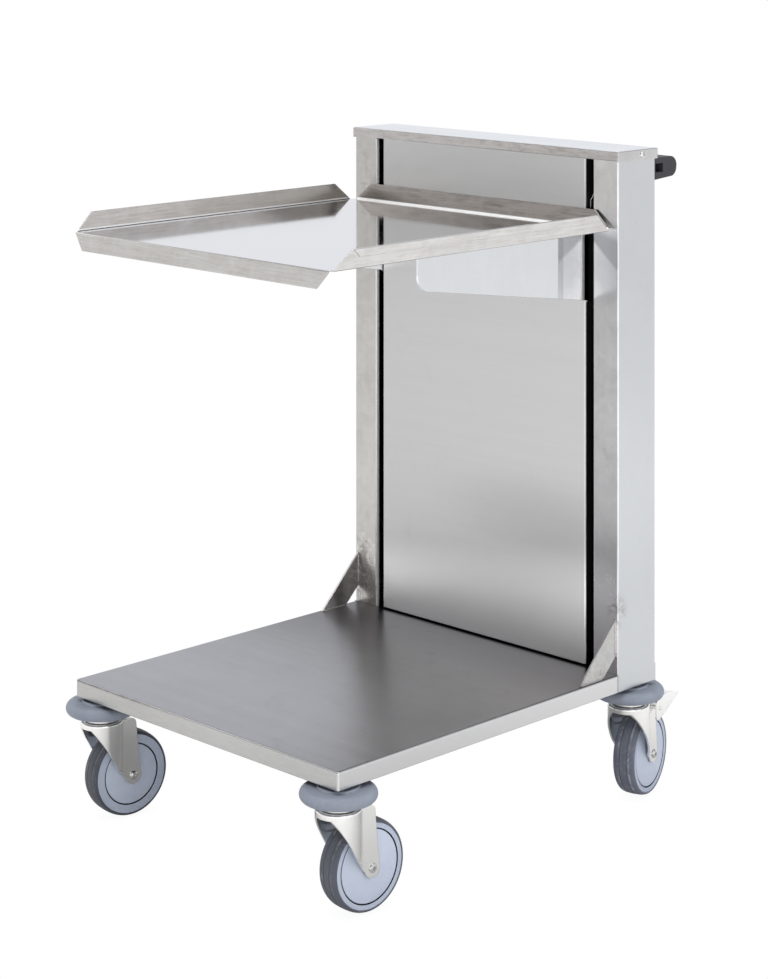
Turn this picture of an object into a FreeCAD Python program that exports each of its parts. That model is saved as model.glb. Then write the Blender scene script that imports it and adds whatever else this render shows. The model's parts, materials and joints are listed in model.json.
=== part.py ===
import FreeCAD, Part
import math, os

# Spring-levelled basket dispenser trolley: a deck on four castors, a column at the rear, and a
# tray on a carriage that rides in the column, shown at the top of its travel.
# Frame: +Z up, Z = 0 on the floor. X runs across the trolley, +X on the right when facing the
# tray from the open front. +Y runs from the open front towards the column. Millimetres.
# Y is written from the column's front face and moved by Y_SHIFT at export, so that the origin
# lands under the middle of the bounding box.

os.makedirs("parts", exist_ok=True)
Vector = FreeCAD.Vector
ORIGIN = Vector(0, 0, 0)
X_AXIS = Vector(1, 0, 0)
Z_AXIS = Vector(0, 0, 1)
SIDES = (-1, 1)          # left, right

Y_SHIFT = 218.50
FINE = 0.05              # running clearance

# ---------------------------------------------------------------- driving dimensions
# Deck
DECK_W = 560.0           # deck and column width
HALF_W = DECK_W / 2
DECK_FRONT = -576.7
DECK_TOP = 207.0
DECK_RIM = 25.6          # depth of the folded rim
RIM_LOW = DECK_TOP - DECK_RIM
DECK_T = 2.0
DECK_R = 3.0             # outer bend radius of the rim

# Column
COL_D = 87.65            # depth of the side posts
COL_TOP = 984.0
POST_T = 2.0
ROLLER_Y = 46.0          # middle of the rails, rollers and springs
ROLLER_Z = {"upper": 905.0, "lower": 745.0}

# Carriage
ARM_OUT = 220.0          # outer face of the arms
ARM_T = 3.0
ARM_IN = ARM_OUT - ARM_T
ARM_TOP = 868.4
TRAY_T = 1.5
TRAY_TOP = 870.0         # top of the tray floor
STUD_X = ARM_OUT - 16.0
STUD_Y = (-330.0, -185.0, -40.0)

# Springs and the two flat bars that hold them
SPRING_X = (-150.0, -110.0, -70.0, 70.0, 110.0, 150.0)
HOOK_TOP = 953.0         # wire centre in the hanger bar
HOOK_BOTTOM = 727.0      # wire centre in the pick-up bar
BAR_T = 4.0
BAR_FRONT = ROLLER_Y - BAR_T / 2
BAR_REAR = ROLLER_Y + BAR_T / 2

# Castors
AXIS_X = 252.9
FRONT_AXIS_Y = -549.8
REAR_AXIS_Y = 57.5
BOLT_HOLE_R = 6.5
# name: (axis x, axis y, trail heading from +Y towards +X in degrees,
#        has a brake, outer radius of the groove round each wheel cover)
CASTORS = {
    "front_left": (-AXIS_X, FRONT_AXIS_Y, 8.3, False, 45.5),
    "front_right": (AXIS_X, FRONT_AXIS_Y, 3.8, False, 50.9),
    "rear_left": (-AXIS_X, REAR_AXIS_Y, 11.5, True, 50.9),
    "rear_right": (AXIS_X, REAR_AXIS_Y, -14.6, True, 50.9),
}
CASTOR_AXES = [(castor[0], castor[1]) for castor in CASTORS.values()]


# ---------------------------------------------------------------- helpers
def box(x0, y0, z0, x1, y1, z1):
    """Box between two corners; x0 and x1 may come in either order."""
    return Part.makeBox(abs(x1 - x0), y1 - y0, z1 - z0, Vector(min(x0, x1), y0, z0))


def cylinder(radius, start, end):
    start, end = Vector(*start), Vector(*end)
    return Part.makeCylinder(radius, (end - start).Length, start, end - start)


def cyl_x(radius, x0, x1, y, z):
    return cylinder(radius, (min(x0, x1), y, z), (max(x0, x1), y, z))


def cyl_y(radius, y0, y1, x, z):
    return cylinder(radius, (x, y0, z), (x, y1, z))


def cyl_z(radius, z0, z1, x, y):
    return cylinder(radius, (x, y, z0), (x, y, z1))


def polygon_face(points):
    corners = [Vector(*point) for point in points]
    return Part.Face(Part.makePolygon(corners + [corners[0]]))


def prism(points, direction):
    """Closed polygon of 3-D points, extruded."""
    return polygon_face(points).extrude(Vector(*direction))


def plate_yz(points, x0, x1):
    return prism([(x0, y, z) for y, z in points], (x1 - x0, 0, 0))


def hexagon(across_flats, z0, z1, x, y):
    radius = across_flats / math.sqrt(3)
    angles = [math.radians(60 * i) for i in range(6)]
    points = [(x + radius * math.cos(a), y + radius * math.sin(a), z0) for a in angles]
    return prism(points, (0, 0, z1 - z0))


def revolve_x(profile):
    """Closed polygon of (x, radius), turned about the X axis."""
    return polygon_face([(x, r, 0) for x, r in profile]).revolve(ORIGIN, X_AXIS, 360)


def revolve_z(profile):
    """Closed polygon of (radius, z), turned about the Z axis."""
    return polygon_face([(r, 0, z) for r, z in profile]).revolve(ORIGIN, Z_AXIS, 360)


def line(start, end):
    return Part.LineSegment(start, end).toShape()


def arc(start, middle, end):
    return Part.Arc(start, middle, end).toShape()


def spline(points):
    curve = Part.BSplineCurve()
    curve.interpolate(points)
    return curve.toShape()


def arc_points(x, y, radius, start, end, steps):
    """Points along an arc, angles in degrees."""
    angles = [math.radians(start + (end - start) * i / steps) for i in range(steps + 1)]
    return [(x + radius * math.cos(a), y + radius * math.sin(a)) for a in angles]


def rounded_wire(corners):
    """Closed XY outline from (x, y, corner radius) entries."""
    points = [Vector(x, y, 0) for x, y, _ in corners]
    count = len(points)
    starts, middles, ends = [], [], []
    for i, point in enumerate(points):
        radius = corners[i][2]
        if radius <= 0:
            starts.append(point)
            middles.append(None)
            ends.append(point)
            continue
        back = points[i - 1] - point
        ahead = points[(i + 1) % count] - point
        back.normalize()
        ahead.normalize()
        half_angle = math.acos(max(-1, min(1, back.dot(ahead)))) / 2
        setback = radius / math.tan(half_angle)
        bisector = back + ahead
        bisector.normalize()
        centre = point + bisector * (radius / math.sin(half_angle))
        starts.append(point + back * setback)
        middles.append(centre - bisector * radius)
        ends.append(point + ahead * setback)
    edges = []
    for i in range(count):
        if middles[i] is not None:
            edges.append(arc(starts[i], middles[i], ends[i]))
        following = starts[(i + 1) % count]
        if (following - ends[i]).Length > 1e-6:
            edges.append(line(ends[i], following))
    return Part.Wire(edges)


def sheet_outline(path, thickness, inner_r):
    """Closed outline of a bent sheet that lies to the right of an open 2-D path."""
    directions = []
    for (x0, y0), (x1, y1) in zip(path, path[1:]):
        length = math.hypot(x1 - x0, y1 - y0)
        directions.append(((x1 - x0) / length, (y1 - y0) / length))
    near, far = [], []
    for i, (x, y) in enumerate(path):
        before = directions[max(i - 1, 0)]
        after = directions[min(i, len(directions) - 1)]
        # mitred offset: the sum of both right-hand normals, scaled to the sheet's thickness
        scale = thickness / (1 + before[0] * after[0] + before[1] * after[1])
        offset_x = (before[1] + after[1]) * scale
        offset_y = -(before[0] + after[0]) * scale
        turn = before[0] * after[1] - before[1] * after[0]
        near_r = far_r = 0
        if turn > 0:
            near_r, far_r = inner_r, inner_r + thickness
        elif turn < 0:
            near_r, far_r = inner_r + thickness, inner_r
        near.append((x, y, near_r))
        far.append((x + offset_x, y + offset_y, far_r))
    return rounded_wire(near + far[::-1])


def placed(shape, x_to, y_to, z_to, origin):
    """Map local X, Y and Z to three world vectors and the local origin to a point."""
    rows = [(x_to[i], y_to[i], z_to[i], origin[i]) for i in range(3)]
    result = shape.copy()
    result.transformShape(FreeCAD.Matrix(*rows[0], *rows[1], *rows[2], 0, 0, 0, 1))
    return result


def extrude_yz(wire, x0, length):
    """Extrude a wire drawn in (y, z) along +X from x0."""
    shape = Part.Face(wire).extrude(Vector(0, 0, length))
    return placed(shape, (0, 1, 0), (0, 0, 1), (1, 0, 0), (x0, 0, 0))


def fillet(shape, radius, pick):
    """Round the edges for which pick(edge, centre of the edge) holds."""
    edges = [edge for edge in shape.Edges if pick(edge, edge.CenterOfMass)]
    if not edges:
        return shape
    # guards against the kernel refusing to round all the edges together
    try:
        rounded = shape.makeFillet(radius, edges)
        if rounded.isValid() and abs(rounded.Volume) > 0:
            return rounded
    except Exception:
        pass
    for edge in edges:
        # guards against single edges that cannot be rounded; those stay sharp
        try:
            same = [other for other in shape.Edges
                    if other.CenterOfMass.isEqual(edge.CenterOfMass, 1e-3)]
            rounded = shape.makeFillet(radius, same)
            if rounded.isValid():
                shape = rounded
        except Exception:
            continue
    return shape


def along(edge, axis):
    """True for an edge whose ends lie along axis 0, 1 or 2."""
    if len(edge.Vertexes) < 2:
        return False
    direction = edge.Vertexes[1].Point - edge.Vertexes[0].Point
    if direction.Length < 1e-6:
        return False
    direction.normalize()
    return abs(abs(direction[axis]) - 1) < 1e-4


def mirror_x(shape):
    return shape.mirror(ORIGIN, X_AXIS)


def save(name, *shapes):
    """Write one STEP file with every solid of the shapes."""
    solids = []
    for shape in shapes:
        moved = shape.copy()
        moved.translate(Vector(0, Y_SHIFT, 0))
        assert moved.Solids, name
        for solid in moved.Solids:
            assert solid.isValid() and solid.Volume > 0, (name, solid.Volume)
        solids += moved.Solids
    result = solids[0] if len(solids) == 1 else Part.makeCompound(solids)
    result.exportStep("parts/%s.step" % name)


def save_pair(name, right):
    """Write a right-hand piece and its left-hand mirror image."""
    save("right_" + name, right)
    save("left_" + name, mirror_x(right))


# ---------------------------------------------------------------- deck
CHANNEL_T = 2.0
FRONT_CHANNEL_Y = (DECK_FRONT + DECK_T + 1.3, DECK_FRONT + 56.0)
REAR_CHANNEL_Y = (33.0, COL_D - DECK_T - 0.2)
LONG_CHANNEL_X = 150.0   # middle of the two channels that run front to rear
LONG_CHANNEL_HALF = 22.0
LONG_CHANNEL_LOW = RIM_LOW + 3.6
MOUNT_T = 4.0            # castor mounting plates


def deck_block(half, front, low, top, radius):
    """Block up to the column's face, its top and front corner edges rounded."""
    def is_bend(edge, mid):
        at_front = abs(mid.y - front) < 1e-3
        at_top = mid.z > top - 1
        return ((along(edge, 0) and at_front and at_top) or (along(edge, 1) and at_top)
                or (along(edge, 2) and at_front))

    return fillet(box(-half, front, low, half, 0, top), radius, is_bend)


def deck_pan():
    outer = deck_block(HALF_W, DECK_FRONT, RIM_LOW, DECK_TOP, DECK_R)
    inner = deck_block(HALF_W - DECK_T, DECK_FRONT + DECK_T, RIM_LOW - 5, DECK_TOP - DECK_T,
                       DECK_R - DECK_T)
    pan = outer.cut(inner)
    # behind the column's face the pan is narrower, so that it slips between the posts
    half = HALF_W - POST_T - 0.1
    back = box(-half, 0, RIM_LOW, half, COL_D, DECK_TOP).cut(
        box(-half + DECK_T, -1, RIM_LOW - 5, half - DECK_T, COL_D - DECK_T, DECK_TOP - DECK_T))
    return pan.fuse(back).removeSplitter()


def cross_channel(y0, y1, half):
    """Channel across the deck, open side up, with the castor bolt holes."""
    channel = box(-half, y0, RIM_LOW, half, y1, DECK_TOP - DECK_T).cut(
        box(-half - 1, y0 + CHANNEL_T, RIM_LOW + CHANNEL_T, half + 1, y1 - CHANNEL_T, DECK_TOP))
    for x, y in CASTOR_AXES:
        if y0 < y < y1:
            channel = channel.cut(cyl_z(BOLT_HOLE_R, RIM_LOW - 1, RIM_LOW + 3, x, y))
    return channel


def long_channel(side):
    """Channel from the front cross channel to the rear one, open side up."""
    x = side * LONG_CHANNEL_X
    y0, y1 = FRONT_CHANNEL_Y[1], REAR_CHANNEL_Y[0]
    inner = LONG_CHANNEL_HALF - CHANNEL_T
    return box(x - LONG_CHANNEL_HALF, y0, LONG_CHANNEL_LOW,
               x + LONG_CHANNEL_HALF, y1, DECK_TOP - DECK_T).cut(
        box(x - inner, y0 - 1, LONG_CHANNEL_LOW + CHANNEL_T, x + inner, y1 + 1, DECK_TOP))


def deck_channels():
    return [cross_channel(*FRONT_CHANNEL_Y, HALF_W - DECK_T - 1.3),
            cross_channel(*REAR_CHANNEL_Y, HALF_W - 4.3)] + [long_channel(s) for s in SIDES]


def mounting_plate(x, y):
    """Castor mounting plate, welded under a cross channel."""
    side = 1 if x > 0 else -1
    ahead, behind = (15.0, 40.0) if y < 0 else (40.0, 22.0)
    plate = box(side * 205.0, y - ahead, RIM_LOW - MOUNT_T, side * 270.0, y + behind, RIM_LOW)
    plate = fillet(plate, 4.0, lambda edge, mid: along(edge, 2))
    return plate.cut(cyl_z(BOLT_HOLE_R, RIM_LOW - 5, RIM_LOW + 1, x, y))


save("deck_pan", deck_pan())
save("deck_channels", *deck_channels())
save("caster_mounting_plates", *[mounting_plate(x, y) for x, y in CASTOR_AXES])

# ---------------------------------------------------------------- column shell
POST_FLANGE_IN = 231.0   # inner edge of the post flanges, from the middle
POST_LIP = 5.0           # inward lip of the flanges
GUSSET_OUT = 275.4
GUSSET_T = 3.0
GUSSET = [(-81.4, DECK_TOP), (-29.0, DECK_TOP), (0.0, 235.0), (0.0, 289.0)]   # (y, z)
PANEL_HALF = 215.5
PANEL_T = 1.5
PANEL_RETURN = 20.0
PANEL_BOTTOM, PANEL_TOP = 210.0, 983.5
REAR_PANEL_T = 1.5
CAP_TOP = 985.6
CAP_T = 1.5
CAP_OVER = 2.4           # how far the cap stands out from the column
CAP_HALF = HALF_W + CAP_OVER
CAP_FRONT_SKIRT = 14.4
CAP_SIDE_SKIRT = 16.0
CAP_REAR_SKIRT = 10.0
CAP_SCREW_Y, CAP_SCREW_Z = 54.0, 977.6
REAR_SCREW_X = 240.0
REAR_SCREW_Z = (240.0, 480.0, 720.0, 955.0)
HANDLE_SCREW_X = 262.0
HANDLE_SCREW_Z = (943.0, 963.5)


def post():
    """Right-hand post: lip, flange, side wall, flange, lip, folded from one sheet."""
    lip = POST_LIP + POST_T
    outer_face = [(POST_FLANGE_IN, COL_D - lip), (POST_FLANGE_IN, COL_D), (HALF_W, COL_D),
                  (HALF_W, 0), (POST_FLANGE_IN, 0), (POST_FLANGE_IN, lip)]
    section = Part.Face(sheet_outline(outer_face, POST_T, 1.0))
    body = section.extrude(Vector(0, 0, COL_TOP - DECK_TOP))
    body.translate(Vector(0, 0, DECK_TOP))
    foot = box(HALF_W - POST_T, 0, RIM_LOW, HALF_W, COL_D, DECK_TOP + 6)
    foot = fillet(foot, 2.5, lambda edge, mid: along(edge, 2) and mid.x > HALF_W - 0.1
                  and mid.y > COL_D - 0.1)
    # above the deck the foot stays clear of the post's bends
    foot = foot.common(box(0, 3.0, RIM_LOW, 400, COL_D - 3.0, 1000)).fuse(
        foot.common(box(0, -1, RIM_LOW, 400, COL_D + 1, DECK_TOP)))
    body = body.fuse(foot).removeSplitter()
    body = body.cut(cyl_x(2.5, HALF_W - 5, HALF_W + 5, CAP_SCREW_Y, CAP_SCREW_Z))
    for z in REAR_SCREW_Z:
        body = body.cut(cyl_y(2.0, COL_D - 3, COL_D + 1, REAR_SCREW_X, z))
    for z in HANDLE_SCREW_Z:
        body = body.cut(cyl_y(2.5, COL_D - 3, COL_D + 1, HANDLE_SCREW_X, z))
    return body


def front_panel():
    """Front panel with side returns and a return at the top and the bottom."""
    depth = PANEL_RETURN + PANEL_T
    outer_face = [(PANEL_HALF, depth), (PANEL_HALF, 0), (-PANEL_HALF, 0), (-PANEL_HALF, depth)]
    section = Part.Face(sheet_outline(outer_face, PANEL_T, 0.9))
    panel = section.extrude(Vector(0, 0, PANEL_TOP - PANEL_BOTTOM))
    panel.translate(Vector(0, 0, PANEL_BOTTOM))
    half = PANEL_HALF - 3
    for z in (PANEL_TOP - PANEL_T, PANEL_BOTTOM):
        panel = panel.fuse(box(-half, 1.0, z, half, 18.0, z + PANEL_T))
    return panel.removeSplitter()


def rear_panel():
    """Service panel, screwed on the rear flanges, with ventilation slots near the foot."""
    panel = box(-250.0, COL_D, 213.0, 250.0, COL_D + REAR_PANEL_T, 971.0)
    panel = fillet(panel, 3.0, lambda edge, mid: along(edge, 1))
    for side in SIDES:
        for z in REAR_SCREW_Z:
            panel = panel.cut(cyl_y(2.4, COL_D - 1, COL_D + 3, side * REAR_SCREW_X, z))
    for row in range(6):
        z = 260.0 + row * 9
        for x in (-90, -30, 30, 90):
            panel = panel.cut(box(x - 20, COL_D - 1, z, x + 20, COL_D + 3, z + 3.0))
    return panel


def top_cap():
    """Top sheet with four skirts and open corners."""
    front, rear = -CAP_OVER, COL_D + CAP_OVER
    low = CAP_TOP - CAP_SIDE_SKIRT
    inner = CAP_HALF - CAP_T
    cap = box(-CAP_HALF, front, low, CAP_HALF, rear, CAP_TOP)
    cap = fillet(cap, 1.8, lambda edge, mid: mid.z > CAP_TOP - 0.1)
    cap = cap.cut(box(-inner, front + CAP_T, low - 1, inner, rear - CAP_T, CAP_TOP - CAP_T))
    # the front and rear skirts are shorter than the side ones
    cap = cap.cut(box(-inner, front - 1, low - 1,
                      inner, front + CAP_T + 0.2, CAP_TOP - CAP_FRONT_SKIRT))
    cap = cap.cut(box(-inner, rear - CAP_T - 0.2, low - 1,
                      inner, rear + 1, CAP_TOP - CAP_REAR_SKIRT))
    for side in SIDES:
        # the corners are folded, not welded
        for y0, y1 in ((front - 1, front + CAP_T), (rear - CAP_T, rear + 1)):
            cap = cap.cut(box(side * (inner - 0.5), y0, low - 1, side * inner, y1, CAP_TOP - 2.2))
        cap = cap.cut(cyl_x(2.7, side * (CAP_HALF - 3), side * (CAP_HALF + 2),
                            CAP_SCREW_Y, CAP_SCREW_Z))
    return cap


def button_screw(head_r, head_h, shank_r, length, socket):
    """Button head with a hexagon socket, head above Z = 0 and shank below."""
    edge_h = head_h * 0.25
    profile = [(0, -length), (shank_r - 0.4, -length), (shank_r, -length + 0.6), (shank_r, 0),
               (head_r, 0), (head_r, edge_h)]
    for angle in (20, 40, 60, 75):
        profile.append((head_r * math.cos(math.radians(angle)),
                        edge_h + head_h * 0.75 * math.sin(math.radians(angle))))
    profile.append((0, head_h))
    return revolve_z(profile).cut(hexagon(socket, head_h * 0.35, head_h + 1, 0, 0))


def cover_screws():
    """Screws of the cap and the rear panel."""
    cap_screw = button_screw(head_r=5.0, head_h=3.2, shank_r=2.45, length=11.0, socket=3.0)
    rear_screw = button_screw(head_r=4.2, head_h=2.4, shank_r=1.95, length=8.0, socket=2.5)
    screws = []
    for side in SIDES:
        screws.append(placed(cap_screw, (0, 1, 0), (0, 0, 1), (side, 0, 0),
                             (side * CAP_HALF, CAP_SCREW_Y, CAP_SCREW_Z)))
        for z in REAR_SCREW_Z:
            screws.append(placed(rear_screw, (1, 0, 0), (0, 0, -1), (0, 1, 0),
                                 (side * REAR_SCREW_X, COL_D + REAR_PANEL_T, z)))
    return screws


save_pair("post", post())
save_pair("gusset", plate_yz(GUSSET, GUSSET_OUT - GUSSET_T, GUSSET_OUT))
save("front_panel", front_panel())
save("rear_panel", rear_panel())
save("top_cap", top_cap())
save("cover_screws", *cover_screws())

# ---------------------------------------------------------------- column inside
RAIL_GAP = 32.0          # between the rail's running faces
RAIL_T = 2.0
RAIL_IN, RAIL_OUT = 222.5, 242.0
RAIL_Y0, RAIL_Y1 = ROLLER_Y - RAIL_GAP / 2, ROLLER_Y + RAIL_GAP / 2
TIE_T = 3.0
RAIL_BOTTOM, RAIL_TOP = DECK_TOP + TIE_T, 945.0


def guide_rail():
    """Right-hand rail: C section, open towards the middle."""
    rail = box(RAIL_IN, RAIL_Y0 - RAIL_T, RAIL_BOTTOM, RAIL_OUT, RAIL_Y1 + RAIL_T, RAIL_TOP)
    rail = rail.cut(box(RAIL_IN - 1, RAIL_Y0, RAIL_BOTTOM - 1,
                        RAIL_OUT - RAIL_T, RAIL_Y1, RAIL_TOP + 1))
    for z in (260, 420, 580, 740, 900):   # spacers that reach the post's side wall
        rail = rail.fuse(cyl_x(6, RAIL_OUT - 0.5, HALF_W - POST_T, ROLLER_Y, z))
    return rail


def spring_bar(half, low, high, hole_r, hole_z):
    """Flat bar on edge, with one hole for each spring."""
    bar = box(-half, BAR_FRONT, low, half, BAR_REAR, high)
    for x in SPRING_X:
        bar = bar.cut(cyl_y(hole_r, BAR_FRONT - 4, BAR_REAR + 4, x, hole_z))
    return bar


def foot_tie():
    """Angle across the column's foot that locates the rails."""
    half = HALF_W - POST_T - 0.3
    front = RAIL_Y0 - 5
    tie = box(-half, front, DECK_TOP, half, RAIL_Y1 + 6, DECK_TOP + TIE_T)
    tie = tie.fuse(box(-half, front, DECK_TOP, half, front + TIE_T, DECK_TOP + 11))
    return tie.removeSplitter()


def buffers(low, high, pick):
    """Rubber stops in both rails, rounded on the face that pick selects."""
    return [fillet(box(side * (RAIL_IN + 1.5), RAIL_Y0 + 0.2, low,
                       side * (RAIL_OUT - 2.2), RAIL_Y1 - 0.2, high), 3.0, pick)
            for side in SIDES]


save_pair("guide_rail", guide_rail())
save("spring_hanger_bar", spring_bar(HALF_W - POST_T, RAIL_TOP, 981.0, 4.5, HOOK_TOP))
save("column_foot_tie", foot_tie())
save("upper_buffers", *buffers(921.5, RAIL_TOP, lambda edge, mid: mid.z < 922))
save("lower_buffers", *buffers(RAIL_BOTTOM, 236.0, lambda edge, mid: mid.z > 235))

# ---------------------------------------------------------------- push handle
NOSE_Y, NOSE_Z, NOSE_R = 127.0, 953.0, 14.2   # rounded rear end of the brackets
BRACKET_IN, BRACKET_OUT = 252.0, 279.0
TUBE_R = 12.0
TUBE_T = 1.5
TUBE_Z = NOSE_Z + 1.5
TUBE_SOCKET = 16.0       # depth of the bracket's bore
TUBE_HALF = BRACKET_IN + TUBE_SOCKET - 0.2


def handle_bracket():
    """Right-hand bracket behind the post, bored from its inner face for the tube."""
    outline = [(COL_D, 969.9)]
    outline += arc_points(NOSE_Y, NOSE_Z + 2.7, NOSE_R, 90, -10, 10)
    outline += arc_points(NOSE_Y - 0.3, NOSE_Z, NOSE_R, -20, -75, 6)
    outline += [(COL_D, 936.1)]
    bracket = plate_yz(outline, BRACKET_IN, BRACKET_OUT)
    bracket = fillet(bracket, 2.0, lambda edge, mid: abs(mid.x - BRACKET_OUT) < 1e-3
                     and mid.y > COL_D + 0.5)
    # pocket in the outer face
    bracket = bracket.cut(box(BRACKET_OUT - 14, COL_D + 1.2, 947.5,
                              BRACKET_OUT + 1, 107.0, 961.0))
    bracket = bracket.cut(cyl_x(TUBE_R + FINE, BRACKET_IN - 1, BRACKET_IN + TUBE_SOCKET,
                                NOSE_Y, TUBE_Z))
    for z in HANDLE_SCREW_Z:
        bracket = bracket.cut(cyl_y(2.5, COL_D - 1, COL_D + 13, HANDLE_SCREW_X, z))
    return bracket


def handle_tube():
    return cyl_x(TUBE_R, -TUBE_HALF, TUBE_HALF, NOSE_Y, TUBE_Z).cut(
        cyl_x(TUBE_R - TUBE_T, -TUBE_HALF - 4, TUBE_HALF + 4, NOSE_Y, TUBE_Z))


def handle_screws():
    """Screws put in from inside the posts."""
    screw = button_screw(head_r=4.6, head_h=2.8, shank_r=2.45, length=14.0, socket=3.0)
    return [placed(screw, (1, 0, 0), (0, 0, 1), (0, -1, 0),
                   (side * HANDLE_SCREW_X, COL_D - POST_T, z))
            for side in SIDES for z in HANDLE_SCREW_Z]


save_pair("handle_bracket", handle_bracket())
save("handle_tube", handle_tube())
save("handle_screws", *handle_screws())

# ---------------------------------------------------------------- lifting carriage
ARM_FRONT = -365.0
ARM_OUTLINE = [          # (y, z, corner radius)
    (ARM_FRONT, ARM_TOP, 3), (ARM_FRONT, 812.6, 25), (-335.0, 808.6, 0), (-2.0, 758.0, 0),
    (4.0, 753.5, 0), (42.0, 715.5, 8), (74.0, 712.0, 8), (74.0, 925.0, 8), (22.0, 925.0, 8),
    (8.0, 908.0, 0), (8.0, ARM_TOP, 0)]
SIDE_OPENING = [(30, 780), (60, 780), (60, 862), (30, 862)]   # (y, z)
PIN_HEAD_H = 3.0
PIN_PROFILE = [          # (x from the inner end of the head, radius)
    (0, 0), (0, 8.0), (2.2, 8.5), (PIN_HEAD_H, 8.5), (PIN_HEAD_H, 4.95), (21.5, 4.95),
    (22.0, 4.5), (22.0, 0)]
ROLLER_R = 15.8
ROLLER_PROFILE = [       # (x from the inner end, radius)
    (0, 5.0), (0, 8.0), (1.0, 8.0), (1.0, ROLLER_R - 1.0), (2.0, ROLLER_R), (11.0, ROLLER_R),
    (12.0, ROLLER_R - 1.0), (12.0, 8.0), (13.0, 8.0), (13.0, 5.0)]
SPRING_OD = 16.0
SPRING_ID = 13.0
HOOK_R = 7.0
WIRE_R = 1.0


def arm():
    """Right-hand plate: carrying arm ahead of the column, side plate inside it."""
    plate = extrude_yz(rounded_wire(ARM_OUTLINE), ARM_IN, ARM_T)
    # top flange under the tray, turned inwards
    flange = box(ARM_OUT - 28.0, ARM_FRONT + 14, ARM_TOP - ARM_T, ARM_IN + 0.5, -14.0, ARM_TOP)
    flange = fillet(flange, 8.0, lambda edge, mid: along(edge, 2) and mid.x < ARM_OUT - 20)
    plate = plate.fuse(flange).removeSplitter()
    for y in STUD_Y:
        plate = plate.cut(cyl_z(3.3, ARM_TOP - 5, ARM_TOP + 1, STUD_X, y))
    for z in ROLLER_Z.values():
        plate = plate.cut(cyl_x(5.0, ARM_OUT - 10, ARM_OUT + 10, ROLLER_Y, z))
    # opening that lightens the side plate between the rollers
    return plate.cut(plate_yz(SIDE_OPENING, ARM_OUT - 5, ARM_OUT + 5))


def cross_plate():
    """Plate between the arms with a flange at its foot and three round openings."""
    plate = box(-ARM_IN, 66.0, 768.0, ARM_IN, 69.0, 905.0)
    plate = plate.fuse(box(-ARM_IN, 56.0, 768.0, ARM_IN, 66.0, 771.0)).removeSplitter()
    for x in (-120, 0, 120):
        plate = plate.cut(cyl_y(30, 60, 75, x, 838))
    return plate


def roller_pin(z):
    """Right-hand pin, its head against the arm's inner face."""
    pin = revolve_x(PIN_PROFILE)
    pin.translate(Vector(ARM_IN - PIN_HEAD_H, ROLLER_Y, z))
    return pin


def guide_roller(z):
    roller = revolve_x(ROLLER_PROFILE)
    roller.translate(Vector(ARM_OUT + 3.2, ROLLER_Y, z))
    return roller


def lift_spring(x):
    """The wound body as a thin tube, with an eye and a cross wire at each end."""
    eye_top, eye_low = HOOK_TOP - HOOK_R, HOOK_BOTTOM + HOOK_R
    top, low = eye_top - HOOK_R + 0.6, eye_low + HOOK_R - 0.6
    spring = cyl_z(SPRING_OD / 2, low, top, x, ROLLER_Y).cut(
        cyl_z(SPRING_ID / 2, low - 1, top + 1, x, ROLLER_Y))
    for eye_z, wire_z in ((eye_top, top - 0.9), (eye_low, low + 0.9)):
        eye = Part.makeTorus(HOOK_R, WIRE_R, Vector(x, ROLLER_Y, eye_z), X_AXIS)
        wire = cyl_y(WIRE_R, ROLLER_Y - 7.2, ROLLER_Y + 7.2, x, wire_z)
        spring = spring.fuse(eye).fuse(wire)
    return spring


save_pair("arm", arm())
save("carriage_cross_plate", cross_plate())
save("spring_pickup_bar", spring_bar(ARM_IN, 714.5, 736.0, 4.0, HOOK_BOTTOM))
right_pins = [roller_pin(z) for z in ROLLER_Z.values()]
save("roller_pins", *[mirror_x(pin) for pin in right_pins], *right_pins)
for level, roller_z in ROLLER_Z.items():
    save_pair(level + "_guide_roller", guide_roller(roller_z))
save("lift_springs", *[lift_spring(x) for x in SPRING_X])

# ---------------------------------------------------------------- tray
TRAY_HALF = 274.2        # fold line of the side flanges
TRAY_FRONT = -584.6
TRAY_REAR = -8.8
FLANGE_UP = 26.6         # height of the raised flanges
FLANGE_DOWN = 25.6       # depth of the front flange
FLANGE_LEAN = 4.4        # how far a flange leans outward
RAISED_MITRE = 29.8      # mitre of a raised flange's ends
FRONT_MITRE = 20.0       # mitre of the front flange's ends
FRONT_HALF = 270.5       # half length of the front flange at its fold
HEM = 12.0               # folded-over hem of the raised flanges
CORNER = 6.0             # open corner of the tray


def flange_strip(length, height, mitre, inner_r):
    """One folded edge with mitred ends, turned down where height is negative.

    Local X runs along the fold, Y outward and Z up; Z = 0 is the floor's top face."""
    path = [(-8.0, 0.0), (0.0, 0.0), (FLANGE_LEAN, height)]
    strip = extrude_yz(sheet_outline(path, TRAY_T, inner_r), -length / 2, length)
    half = length / 2
    start, far = (0.4, height + 30) if height > 0 else (-0.4 - TRAY_T, height - 30)
    for end in SIDES:
        strip = strip.cut(prism([
            (end * (half + 0.01), -30, start), (end * (half - mitre), -30, height),
            (end * (half - mitre), -30, far), (end * (half + 60), -30, far),
            (end * (half + 60), -30, start)], (0, 60, 0)))
    return strip


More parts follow.
